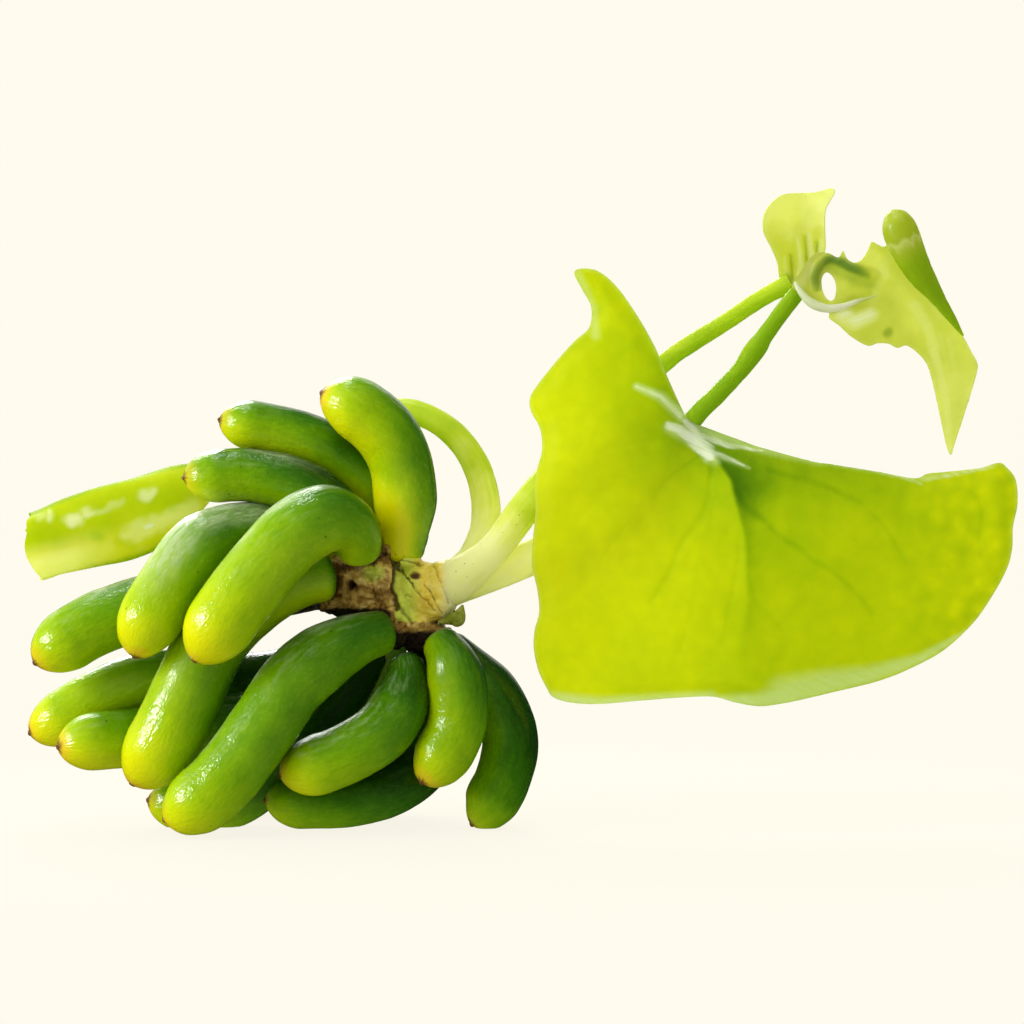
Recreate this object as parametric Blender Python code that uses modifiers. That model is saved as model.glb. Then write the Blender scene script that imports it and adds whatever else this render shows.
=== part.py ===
"""Banana lily, Nymphoides aquatica, lying on its tubers.

A short crown carries a bunch of banana-shaped tubers, three stalks and their leaves. Places are
laid out as the plant is seen from the front, in millimetres: how far across, how far up and how far
back. The function spot turns such a place into world coordinates in metres, with +Z up.
"""

import math

import bmesh
import bpy
from mathutils import Vector

MM = 0.001

# The plant is laid out from a viewpoint this far in front of it, looking slightly down at AIM_UP.
VIEW_DISTANCE = 600.0
VIEW_TILT = math.radians(3.0)
AIM_ACROSS = -0.9
AIM_UP = 35.1
# The middle of the plant's box in that layout, which becomes the model's origin.
MIDDLE_ACROSS = -0.3
MIDDLE_BACK = 2.3

LEAF_THICKNESS = 0.5
TUBER_SIDES = 3
STALK_SIDES = 2
TIP_STATIONS = (0.0, 34.0, 58.0, 77.0, 90.0)
BODY_STATIONS = (0.0, 0.07, 0.15, 0.25, 0.36, 0.5, 0.64)
TIP_BLUNTNESS = 1.15
NUB = 0.12

# Each tuber: girth, neck width and the route of its middle, from the crown to the tip.
TUBERS = {
    "tuber_01": (6.0, 4.0, [(-12.8, 30.6, 0.8), (-12.2, 34.5, 0.4), (-12.2, 37.8, 0.0),
                            (-12.8, 41.4, -0.4), (-14.3, 44.3, -0.8), (-17.6, 46.9, -1.2),
                            (-21.8, 48.3, -1.6)]),
    "tuber_02": (5.6, 3.4, [(-14.5, 30.4, 4.8), (-15.0, 34.0, 4.9), (-16.1, 37.5, 4.8),
                            (-18.5, 40.6, 4.2), (-22.2, 43.0, 3.4), (-26.4, 44.3, 3.0),
                            (-33.0, 45.3, 2.0)]),
    "tuber_03": (6.0, 3.0, [(-16.7, 30.7, 1.6), (-17.4, 33.9, 0.8), (-20.0, 36.3, 0.0),
                            (-24.2, 38.3, -0.2), (-29.7, 39.3, 0.0), (-34.1, 39.1, -0.6),
                            (-37.2, 38.8, -1.2)]),
    "tuber_04": (7.4, 4.6, [(-17.8, 29.8, -2.9), (-17.6, 32.1, -4.4), (-19.2, 33.9, -6.0),
                            (-22.0, 34.2, -7.8), (-25.1, 32.4, -9.2), (-28.1, 29.1, -10.1),
                            (-30.9, 25.6, -10.6), (-33.3, 22.1, -10.9), (-35.6, 18.7, -10.9)]),
    "tuber_05": (6.7, 3.2, [(-18.7, 30.2, 4.2), (-21.6, 31.9, 3.8), (-25.3, 32.7, 3.2),
                            (-29.2, 32.7, 0.4), (-32.7, 32.3, -2.2), (-35.7, 30.8, -4.3),
                            (-38.5, 27.0, -5.4), (-40.7, 22.8, -6.2), (-41.9, 19.2, -6.6)]),
    "tuber_06": (6.4, 3.2, [(-20.1, 26.5, 3.4), (-24.2, 26.7, 4.2), (-29.7, 26.5, 4.2),
                            (-35.2, 26.3, 3.6), (-39.6, 25.6, 3.0), (-43.5, 24.3, 2.2),
                            (-47.3, 22.8, 1.4), (-50.6, 20.8, 0.6), (-53.4, 18.6, 0.0)]),
    "tuber_07": (6.2, 3.0, [(-15.4, 25.4, 6.9), (-17.4, 23.4, 9.2), (-21.2, 19.3, 11.0),
                            (-25.5, 17.4, 11.9), (-30.8, 16.9, 10.8), (-36.3, 17.5, 8.2),
                            (-41.8, 17.5, 6.8), (-46.8, 15.2, 6.4), (-50.6, 12.8, 6.2),
                            (-54.0, 10.9, 5.8)]),
    "tuber_08": (6.2, 3.0, [(-17.4, 23.0, 3.8), (-18.6, 19.4, 5.2), (-21.6, 15.7, 6.3),
                            (-27.0, 12.7, 6.7), (-32.5, 11.9, 6.0), (-38.0, 11.1, 5.0),
                            (-42.9, 10.2, 2.9), (-47.3, 9.8, 0.8), (-50.9, 9.3, -0.6)]),
    "tuber_09": (7.0, 5.0, [(-20.3, 28.0, -1.0), (-24.2, 27.5, -1.9), (-28.4, 26.1, -2.8),
                            (-31.8, 23.8, -3.0), (-34.5, 20.6, -2.8), (-37.1, 15.6, -3.4),
                            (-39.6, 10.2, -3.4), (-42.7, 5.4, -3.4)]),
    "tuber_10": (6.4, 4.6, [(-14.5, 21.8, -2.0), (-17.6, 21.3, -3.6), (-21.4, 19.6, -5.4),
                            (-25.3, 16.6, -6.8), (-28.4, 12.2, -7.6), (-31.4, 8.0, -8.0),
                            (-34.2, 4.2, -8.0), (-36.4, 2.2, -8.0), (-38.9, 1.2, -7.8)]),
    "tuber_11": (5.8, 3.4, [(-13.0, 19.4, -0.8), (-12.5, 17.4, -1.8), (-13.0, 14.7, -3.0),
                            (-15.1, 11.8, -4.4), (-18.7, 9.1, -5.2), (-22.6, 7.2, -5.6),
                            (-26.3, 6.0, -5.6)]),
    "tuber_12": (6.0, 3.0, [(-11.6, 20.0, 3.1), (-9.9, 17.0, 3.6), (-8.6, 12.0, 3.2),
                            (-9.9, 7.4, 2.0), (-13.9, 4.2, 0.2), (-18.7, 2.8, -0.8),
                            (-23.7, 2.6, -1.4), (-27.9, 2.9, -1.8)]),
    "tuber_13": (6.0, 3.8, [(-9.3, 21.0, -1.2), (-7.6, 18.6, -2.2), (-6.7, 15.0, -3.0),
                            (-7.0, 11.1, -3.6), (-8.7, 7.8, -4.0), (-10.4, 5.5, -4.2)]),
    "tuber_14": (6.0, 3.2, [(-7.9, 21.9, 2.5), (-4.9, 18.4, 2.7), (-2.1, 14.3, 2.8),
                            (-0.9, 10.0, 2.8), (-1.5, 5.8, 2.2), (-3.1, 2.9, 1.8),
                            (-4.6, 0.9, 1.4)]),
    "tuber_15": (6.0, 2.8, [(-15.4, 20.1, 1.6), (-17.9, 16.2, 1.4), (-22.2, 11.2, 0.9),
                            (-26.6, 6.8, 3.1), (-31.4, 3.3, 3.6), (-36.0, 2.7, 3.0),
                            (-41.0, 3.0, 2.4)]),
    "tuber_16": (5.8, 2.8, [(-16.9, 28.5, 6.6), (-18.2, 33.0, 9.6), (-20.9, 37.0, 12.6),
                            (-25.3, 39.4, 15.0), (-30.0, 40.4, 16.4)]),
    "tuber_17": (6.0, 2.8, [(-18.7, 25.4, 6.2), (-22.2, 27.4, 9.6), (-27.5, 28.4, 12.4),
                            (-33.5, 27.8, 14.0), (-38.5, 26.6, 14.4), (-43.0, 25.4, 14.0)]),
    "tuber_18": (6.0, 2.8, [(-13.8, 22.2, 5.6), (-15.0, 18.4, 10.6), (-18.2, 14.0, 14.6),
                            (-24.0, 9.2, 16.4), (-29.4, 4.8, 16.0), (-34.2, 3.4, 15.0)]),
    "tuber_19": (6.0, 2.8, [(-11.6, 24.6, 6.9), (-9.8, 19.4, 10.4), (-9.2, 14.2, 13.2),
                            (-11.4, 9.2, 14.4), (-15.6, 5.2, 14.0), (-20.4, 3.3, 13.2)]),
    "tuber_20": (5.8, 2.8, [(-12.1, 28.5, 6.9), (-12.6, 33.6, 9.8), (-12.8, 38.2, 12.4),
                            (-13.4, 42.2, 13.6)]),
}

# Stalks and the crown: the route of the middle, with the radius there as a fourth number.
CROWN = [(-19.6, 26.6, 1.0, 1.2), (-18.6, 26.6, 1.0, 2.0), (-16.6, 26.6, 1.2, 2.3),
         (-14.2, 26.2, 1.4, 2.3), (-12.4, 26.0, 1.4, 2.2), (-10.8, 26.2, 1.2, 2.6),
         (-8.8, 26.3, 1.2, 2.7), (-7.6, 26.3, 1.2, 2.4)]
CROWN_HEEL = [(-12.4, 25.0, 1.2, 1.8), (-12.1, 22.8, 1.2, 1.9), (-11.9, 21.4, 1.2, 1.4)]
STALKS = {
    "stalk_rolled_leaf": [(-6.9, 28.5, 2.7, 1.1), (-5.1, 30.6, 3.2, 1.4), (-3.9, 33.4, 3.8, 1.6),
                          (-3.9, 36.9, 4.6, 1.6), (-5.2, 40.9, 5.8, 1.5), (-7.9, 44.2, 7.2, 1.4),
                          (-11.8, 46.1, 8.8, 1.4), (-16.0, 45.9, 9.8, 1.4),
                          (-21.0, 44.0, 10.4, 1.4), (-27.5, 41.6, 10.8, 1.4),
                          (-32.4, 39.4, 11.0, 1.2)],
    "stalk_upright_leaf": [(-6.5, 27.2, -1.8, 1.2), (-2.5, 31.2, -1.2, 1.8), (1.7, 37.0, 0.6, 1.8),
                           (8.8, 45.0, 2.6, 1.4), (16.0, 51.7, 4.0, 1.05), (22.2, 55.8, 4.6, 1.0),
                           (26.8, 58.8, 4.7, 0.95), (29.1, 60.0, 4.6, 0.9)],
    "stem_big_leaf": [(-6.7, 24.9, 1.5, 1.2), (-2.5, 27.8, 1.9, 2.0), (1.7, 30.3, 1.2, 2.1),
                      (8.8, 33.6, -0.2, 1.8), (14.9, 39.6, -1.0, 1.3), (19.0, 45.2, -1.2, 1.05),
                      (21.9, 48.2, -0.6, 1.0), (24.8, 51.3, 0.4, 0.95), (27.1, 54.6, 1.3, 0.9),
                      (29.9, 58.6, 1.9, 0.9)],
    "withered_root": [(-20.9, 24.4, 1.0, 0.3), (-23.7, 24.4, 1.2, 0.35),
                      (-25.9, 23.8, 1.2, 0.3), (-27.6, 22.7, 1.0, 0.15)],
    "bract": [(-7.5, 24.0, -1.2, 0.4), (-7.0, 24.1, -1.4, 0.7), (-6.5, 23.8, -1.6, 1.0),
              (-6.3, 23.1, -1.7, 0.9), (-6.5, 22.5, -1.7, 0.4)],
}

# The big leaf's rim, from the end of its upper lobe round to the end of its right lobe.
LEAF_NOTCH = (18.9, 44.3, -3.0)
LEAF_RIM = [(8.4, 62.0, -1.6), (4.2, 62.6, -1.3), (8.6, 57.4, -2.0), (6.3, 53.6, -2.4),
            (2.6, 50.4, -2.7), (0.3, 47.8, -2.5), (3.0, 43.4, -3.1), (1.6, 36.4, -3.4),
            (2.0, 28.7, -3.4), (1.7, 21.0, -3.2), (2.3, 14.1, -2.8), (9.9, 14.2, -3.8),
            (17.6, 14.6, -5.0), (24.2, 13.8, -6.2), (30.8, 13.9, -4.6), (38.0, 15.9, -2.6),
            (45.3, 18.8, -0.8), (51.4, 24.1, 0.8), (54.2, 30.7, 2.0), (55.0, 37.2, 2.6),
            (52.6, 41.6, 3.0)]
LEAF_RINGS = (0.04, 0.36, 0.7, 1.0)
LEAF_BULGE = 1.3
# The rays along the two edges of the notch aren't straight: their places on the two middle rings.
LEAF_BENT_RAYS = {
    0: [(16.3, 50.3, -3.2), (13.0, 56.7, -2.6)],
    19: [(31.6, 40.2, -2.7), (43.4, 36.7, 0.0)],
    20: [(31.0, 41.2, -2.2), (42.6, 38.5, 0.6)],
}

UPRIGHT_LEAF = [
    [(29.2, 60.7, 4.4), (29.8, 60.9, 5.1), (30.6, 60.7, 4.4)],
    [(27.8, 62.8, 3.4), (30.8, 63.0, 5.6), (33.4, 63.1, 3.8)],
    [(26.3, 66.6, 3.0), (30.2, 66.8, 6.2), (33.8, 66.6, 3.8)],
    [(27.6, 69.3, 3.4), (31.0, 69.4, 6.0), (33.8, 69.0, 4.2)],
    [(30.2, 70.5, 4.0), (32.3, 70.6, 5.2), (34.6, 70.9, 4.6)],
]
CURLED_LEAF = [
    [(30.8, 60.2, 1.6), (30.8, 60.1, 1.8), (30.8, 59.9, 1.9), (30.7, 59.7, 1.8),
     (30.7, 59.5, 1.6), (30.6, 59.3, 1.2)],
    [(32.4, 62.9, 1.6), (32.5, 63.1, 2.0), (33.1, 61.2, 2.2), (33.2, 58.5, 1.4),
     (32.9, 57.9, 0.8), (32.5, 57.3, 0.0)],
    [(35.1, 63.4, 1.4), (35.2, 63.7, 1.8), (35.1, 61.3, 2.2), (35.1, 58.7, 1.6),
     (35.0, 57.8, 0.8), (34.6, 56.3, 0.0)],
    [(37.2, 62.5, 1.2), (37.3, 62.3, 1.6), (37.6, 60.6, 2.0), (37.8, 58.4, 2.0),
     (37.6, 56.2, 1.6), (37.1, 53.8, 1.0)],
    [(38.8, 64.2, 0.9), (38.9, 65.0, 1.6), (39.2, 61.6, 2.4), (39.4, 58.4, 2.5),
     (39.4, 55.9, 2.1), (39.5, 53.5, 1.6)],
    [(39.6, 67.8, 0.0), (40.4, 71.2, 1.2), (41.0, 62.6, 2.6), (41.2, 58.4, 2.8),
     (41.5, 55.4, 2.6), (41.6, 53.5, 2.2)],
    [(41.4, 63.8, -0.6), (43.8, 69.4, 1.2), (43.4, 61.2, 2.8), (43.6, 57.2, 3.1),
     (43.6, 54.4, 3.0), (43.4, 52.4, 2.6)],
    [(43.9, 59.6, -0.6), (45.6, 62.2, 1.2), (45.5, 58.2, 2.6), (45.3, 55.1, 3.2),
     (45.2, 52.2, 3.0), (44.5, 49.9, 2.6)],
    [(46.7, 56.6, -0.2), (47.8, 57.4, 1.2), (47.8, 54.6, 2.4), (47.3, 51.6, 3.0),
     (46.6, 48.9, 3.0), (45.3, 46.2, 2.6)],
    [(49.8, 51.6, 1.0), (50.5, 51.4, 1.6), (49.9, 49.6, 2.4), (48.8, 47.6, 2.8),
     (47.6, 45.6, 2.8), (46.2, 43.6, 2.6)],
    [(49.5, 46.8, 1.8), (49.7, 47.0, 2.0), (49.1, 45.2, 2.3), (48.5, 43.5, 2.5),
     (47.9, 42.1, 2.5), (47.1, 40.7, 2.4)],
]
# The curled leaf's torn hole lies between these two rows of its cage, in this column.
CURLED_HOLE = (1, 2)

# The rolled leaf: the middle of the roll, its half height and half depth, from the stalk to the end.
ROLL = [(-33.4, 39.1, 11.0, 1.4, 1.3), (-35.6, 37.5, 11.0, 2.9, 2.0), (-38.6, 35.8, 10.9, 4.0, 2.4),
        (-42.4, 34.3, 10.7, 4.3, 2.6), (-46.4, 33.3, 10.3, 4.2, 2.7), (-50.6, 32.2, 9.8, 4.0, 2.7),
        (-54.1, 31.3, 9.2, 3.7, 2.7)]
ROLL_POINTS = 10
ROLL_FROM = math.radians(-150.0)
ROLL_TO = math.radians(150.0)

GREEN = (0.20, 0.42, 0.02)
LEAF_GREEN = (0.45, 0.62, 0.02)
PALE_GREEN = (0.62, 0.75, 0.25)
BROWN = (0.30, 0.22, 0.06)


def clear_scene():
    """Start from an empty scene."""
    for thing in list(bpy.data.objects):
        bpy.data.objects.remove(thing, do_unlink=True)


def spot(across, up, back):
    """World place, in metres, of what is seen at across and up from the front, back mm deep."""
    rise = (up - AIM_UP) / VIEW_DISTANCE
    depth = VIEW_DISTANCE + back * math.cos(VIEW_TILT)
    height = rise * depth - back * math.sin(VIEW_TILT)
    height /= math.cos(VIEW_TILT) + rise * math.sin(VIEW_TILT)
    depth -= height * math.sin(VIEW_TILT)
    sideways = AIM_ACROSS + (across - AIM_ACROSS) * depth / VIEW_DISTANCE
    return Vector((sideways - MIDDLE_ACROSS, back - MIDDLE_BACK, AIM_UP + height)) * MM


def coloured(name, colour, roughness):
    """A plain material for one node."""
    material = bpy.data.materials.new(name)
    material.use_nodes = True
    shader = material.node_tree.nodes["Principled BSDF"]
    shader.inputs["Base Color"].default_value = (*colour, 1.0)
    shader.inputs["Roughness"].default_value = roughness
    shader.inputs["Metallic"].default_value = 0.0
    return material


def place(name, data, collection, colour, roughness=0.3):
    """Put a mesh or curve into the plant's collection under its node's name."""
    thing = bpy.data.objects.new(name, data)
    data.materials.append(coloured(name, colour, roughness))
    collection.objects.link(thing)
    return thing


def between(a, b, c, d, t):
    """Catmull-Rom point between b and c, for vectors or numbers."""
    return 0.5 * (2 * b + (c - a) * t + (2 * a - 5 * b + 4 * c - d) * t * t
                  + (3 * b - a - 3 * c + d) * t * t * t)


def smooth_through(values, steps):
    """A smooth run of values through the given ones, with steps between each two."""
    ends = [2 * values[0] - values[1], *values, 2 * values[-1] - values[-2]]
    run = []
    for i in range(len(values) - 1):
        run += [between(*ends[i:i + 4], step / steps) for step in range(steps)]
    return run + [values[-1]]


def point_along(line, share):
    """The point at a share of the whole length of a line."""
    pieces = [(b - a).length for a, b in zip(line, line[1:])]
    left = share * sum(pieces)
    for a, b, piece in zip(line, line[1:], pieces):
        if left <= piece:
            return a.lerp(b, left / piece)
        left -= piece
    return line[-1]


def tube(name, points, radii, sides):
    """A curve object of varying radius with closed ends."""
    curve = bpy.data.curves.new(name, "CURVE")
    curve.dimensions = "3D"
    curve.bevel_depth = 1.0
    curve.bevel_resolution = sides
    curve.use_fill_caps = True
    spline = curve.splines.new("POLY")
    spline.points.add(len(points) - 1)
    for knot, point, radius in zip(spline.points, points, radii):
        knot.co = (*point, 1.0)
        knot.radius = radius
    return curve


def as_mesh(name, curve):
    """The tube as one closed mesh, with its caps welded on."""
    holder = bpy.data.objects.new(name, curve)
    bpy.context.scene.collection.objects.link(holder)
    evaluated = holder.evaluated_get(bpy.context.evaluated_depsgraph_get())
    mesh = bpy.data.meshes.new_from_object(evaluated)
    bpy.data.objects.remove(holder)
    shape = bmesh.new()
    shape.from_mesh(mesh)
    bmesh.ops.remove_doubles(shape, verts=shape.verts, dist=0.001 * MM)
    shape.to_mesh(mesh)
    shape.free()
    mesh.name = name
    return mesh


def press_on_floor(mesh):
    """Flatten the soft skin where it would dip below the surface that the plant lies on."""
    for vertex in mesh.vertices:
        vertex.co.z = max(vertex.co.z, 0.0)


def tuber(name, girth, neck, route, collection):
    """A banana-shaped tuber: a thin neck, an even body and a blunt tip that ends in a nub."""
    line = smooth_through([spot(*stop) for stop in route], 8)
    length = sum((b - a).length for a, b in zip(line, line[1:])) / MM
    tip_start = 1.0 - TIP_BLUNTNESS * 0.5 * girth / length
    shares = [share / 0.72 * tip_start for share in BODY_STATIONS]
    shares += [tip_start + (1.0 - tip_start) * math.sin(math.radians(a)) for a in TIP_STATIONS]
    radii = []
    for share in shares:
        swell = min(share / 0.32, 1.0)
        swell = swell * swell * (3.0 - 2.0 * swell)
        round_off = max(share - tip_start, 0.0) / (1.0 - tip_start)
        blunt = max(math.sqrt(max(1.0 - round_off ** 2, 0.0)), NUB)
        radii.append(0.5 * MM * (neck + (girth - neck) * swell) * blunt)
    curve = tube(name, [point_along(line, share) for share in shares], radii, TUBER_SIDES)
    mesh = as_mesh(name, curve)
    press_on_floor(mesh)
    mesh.shade_smooth()
    return place(name, mesh, collection, GREEN, 0.2)


def stalk_curve(name, route, steps):
    """A tapered stalk along a route with a radius at each point."""
    points = smooth_through([spot(*stop[:3]) for stop in route], steps)
    radii = smooth_through([stop[3] * MM for stop in route], steps)
    return tube(name, points, radii, STALK_SIDES)


def crown(collection):
    """The rootstock: a knobbly rod with a heel below it, joined in one solid."""
    rod = place("crown", as_mesh("crown", stalk_curve("crown", CROWN, 2)), collection, BROWN, 0.5)
    heel = bpy.data.objects.new("heel", as_mesh("heel", stalk_curve("heel", CROWN_HEEL, 2)))
    heel.hide_render = True
    heel.display_type = "WIRE"
    helpers = bpy.data.collections.new("helpers")
    bpy.context.scene.collection.children.link(helpers)
    helpers.objects.link(heel)
    join = rod.modifiers.new("heel", "BOOLEAN")
    join.operation = "UNION"
    join.object = heel
    return rod


def sheet(name, rows, collection, colour, hole=None):
    """A thin leaf: a cage of rows of places, smoothed and given its thickness."""
    width = len(rows[0])
    corners = [spot(*stop) for row in rows for stop in row]
    faces = []
    for i in range(len(rows) - 1):
        for j in range(width - 1):
            if (i, j) != hole:
                a = i * width + j
                faces.append((a, a + 1, a + width + 1, a + width))
    mesh = bpy.data.meshes.new(name)
    mesh.from_pydata([tuple(corner) for corner in corners], [], faces)
    mesh.shade_smooth()
    leaf = place(name, mesh, collection, colour)
    smooth = leaf.modifiers.new("smooth", "SUBSURF")
    smooth.levels = 1
    smooth.render_levels = 1
    skin = leaf.modifiers.new("thickness", "SOLIDIFY")
    skin.thickness = LEAF_THICKNESS * MM
    skin.offset = 0.0
    return leaf


def big_leaf_rows():
    """The big leaf's cage: a ray from the notch to each point of the rim."""
    rows = []
    for index, rim in enumerate(LEAF_RIM):
        row = []
        for ring in LEAF_RINGS:
            across, up, back = (n + (r - n) * ring for n, r in zip(LEAF_NOTCH, rim))
            row.append((across, up, back - LEAF_BULGE * 4.0 * ring * (1.0 - ring)))
        row[1:3] = LEAF_BENT_RAYS.get(index, row[1:3])
        rows.append(row)
    return rows


def roll_rows():
    """The rolled leaf's cage: at each stop an oval arc, open along one side."""
    rows = []
    for across, up, back, half_height, half_depth in ROLL:
        row = []
        for i in range(ROLL_POINTS):
            turn = ROLL_FROM + (ROLL_TO - ROLL_FROM) * i / (ROLL_POINTS - 1)
            row.append((across + 0.3 * math.sin(3.0 * turn), up + half_height * math.cos(turn),
                        back + half_depth * math.sin(turn)))
        rows.append(row)
    return rows


def main():
    clear_scene()
    plant = bpy.data.collections.new("banana_lily")
    bpy.context.scene.collection.children.link(plant)
    crown(plant)
    for name, (girth, neck, route) in TUBERS.items():
        tuber(name, girth, neck, route, plant)
    for name, route in STALKS.items():
        colour = BROWN if name == "withered_root" else PALE_GREEN
        place(name, stalk_curve(name, route, 2), plant, colour)
    sheet("big_leaf", big_leaf_rows(), plant, LEAF_GREEN)
    sheet("upright_leaf", UPRIGHT_LEAF, plant, PALE_GREEN)
    sheet("curled_leaf", CURLED_LEAF, plant, PALE_GREEN, hole=CURLED_HOLE)
    sheet("rolled_leaf", roll_rows(), plant, LEAF_GREEN)


main()
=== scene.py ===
"""Banana lily: the looks of a plant lying on its tubers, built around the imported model.

Routes and outlines are given as the plant is seen from the front, in millimetres: how far across,
how far up and how far back. The function spots turns such places into world coordinates in metres.
"""

import math

import bmesh
import bpy
import numpy as np
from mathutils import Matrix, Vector, noise
from mathutils.geometry import delaunay_2d_cdt


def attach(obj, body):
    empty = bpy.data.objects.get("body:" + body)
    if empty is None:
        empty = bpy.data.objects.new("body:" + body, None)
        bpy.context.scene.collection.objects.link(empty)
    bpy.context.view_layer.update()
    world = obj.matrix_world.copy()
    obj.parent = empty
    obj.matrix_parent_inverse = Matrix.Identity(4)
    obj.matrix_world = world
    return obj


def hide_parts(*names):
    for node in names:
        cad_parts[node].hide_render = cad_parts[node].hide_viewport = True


bl_info = {
    "name": "Banana lily",
    "version": (1, 0, 0),
    "blender": (4, 5, 0),
    "location": "3D View > Sidebar > Lily",
    "description": "Builds a banana lily plant piece by piece, and the studio it lies in",
    "category": "Object",
}

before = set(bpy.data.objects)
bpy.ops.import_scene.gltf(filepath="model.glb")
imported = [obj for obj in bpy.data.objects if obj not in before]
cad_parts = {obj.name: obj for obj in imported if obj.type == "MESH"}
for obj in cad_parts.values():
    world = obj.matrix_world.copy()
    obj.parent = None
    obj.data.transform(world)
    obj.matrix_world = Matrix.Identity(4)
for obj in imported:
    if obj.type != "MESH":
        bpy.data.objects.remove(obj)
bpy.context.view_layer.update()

MM = 0.001
# The camera, in millimetres: how far off it stands, how far it looks down, where it aims and how
# wide a field it sees there.
VIEW_DISTANCE = 600.0
VIEW_TILT = math.radians(3.0)
AIM_ACROSS = -0.9
AIM_UP = 35.1
FRAME_WIDTH = 112.64
# Where the middle of the world lies in the tables below.
MIDDLE_ACROSS = -0.3
MIDDLE_BACK = 2.3

# Sides of the tubers' and of the stalks' sections.
TUBER_SIDES = 44
STALK_SIDES = 36
# A leaf's layout in millimetres is kept as a UV map in these units.
LAY_UNIT = 100.0
# Edges of a leaf that turn by more than this stay sharp.
SHARP_ANGLE = math.radians(50.0)

# How yellow a tuber's neck is, partly its own tint and partly painted light where it faces left; below
# 0, painted shade that greens it.
NECK_TINTS_AND_LIGHT = {"tuber_01": 0.88, "tuber_02": 0.35, "tuber_04": -0.3, "tuber_05": 0.4,
                "tuber_07": 0.4, "tuber_09": 0.35, "tuber_10": 0.06, "tuber_11": -0.16,
                "tuber_14": 0.4}
# How dark a tuber's hidden first half is painted, as painted shade.
PAINTED_SHADES = {"tuber_07": 0.95, "tuber_08": 0.8, "tuber_15": 0.6}
# How strong the whitish painted sheen is where the wet skin faces up and forwards; it also makes the
# skin wetter there.
SHEENS = {"tuber_03": 0.7, "tuber_04": 0.6, "tuber_05": 0.8, "tuber_06": 0.5, "tuber_08": 0.5,
          "tuber_10": 0.8, "tuber_11": 1.0, "tuber_13": 0.5}
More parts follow.
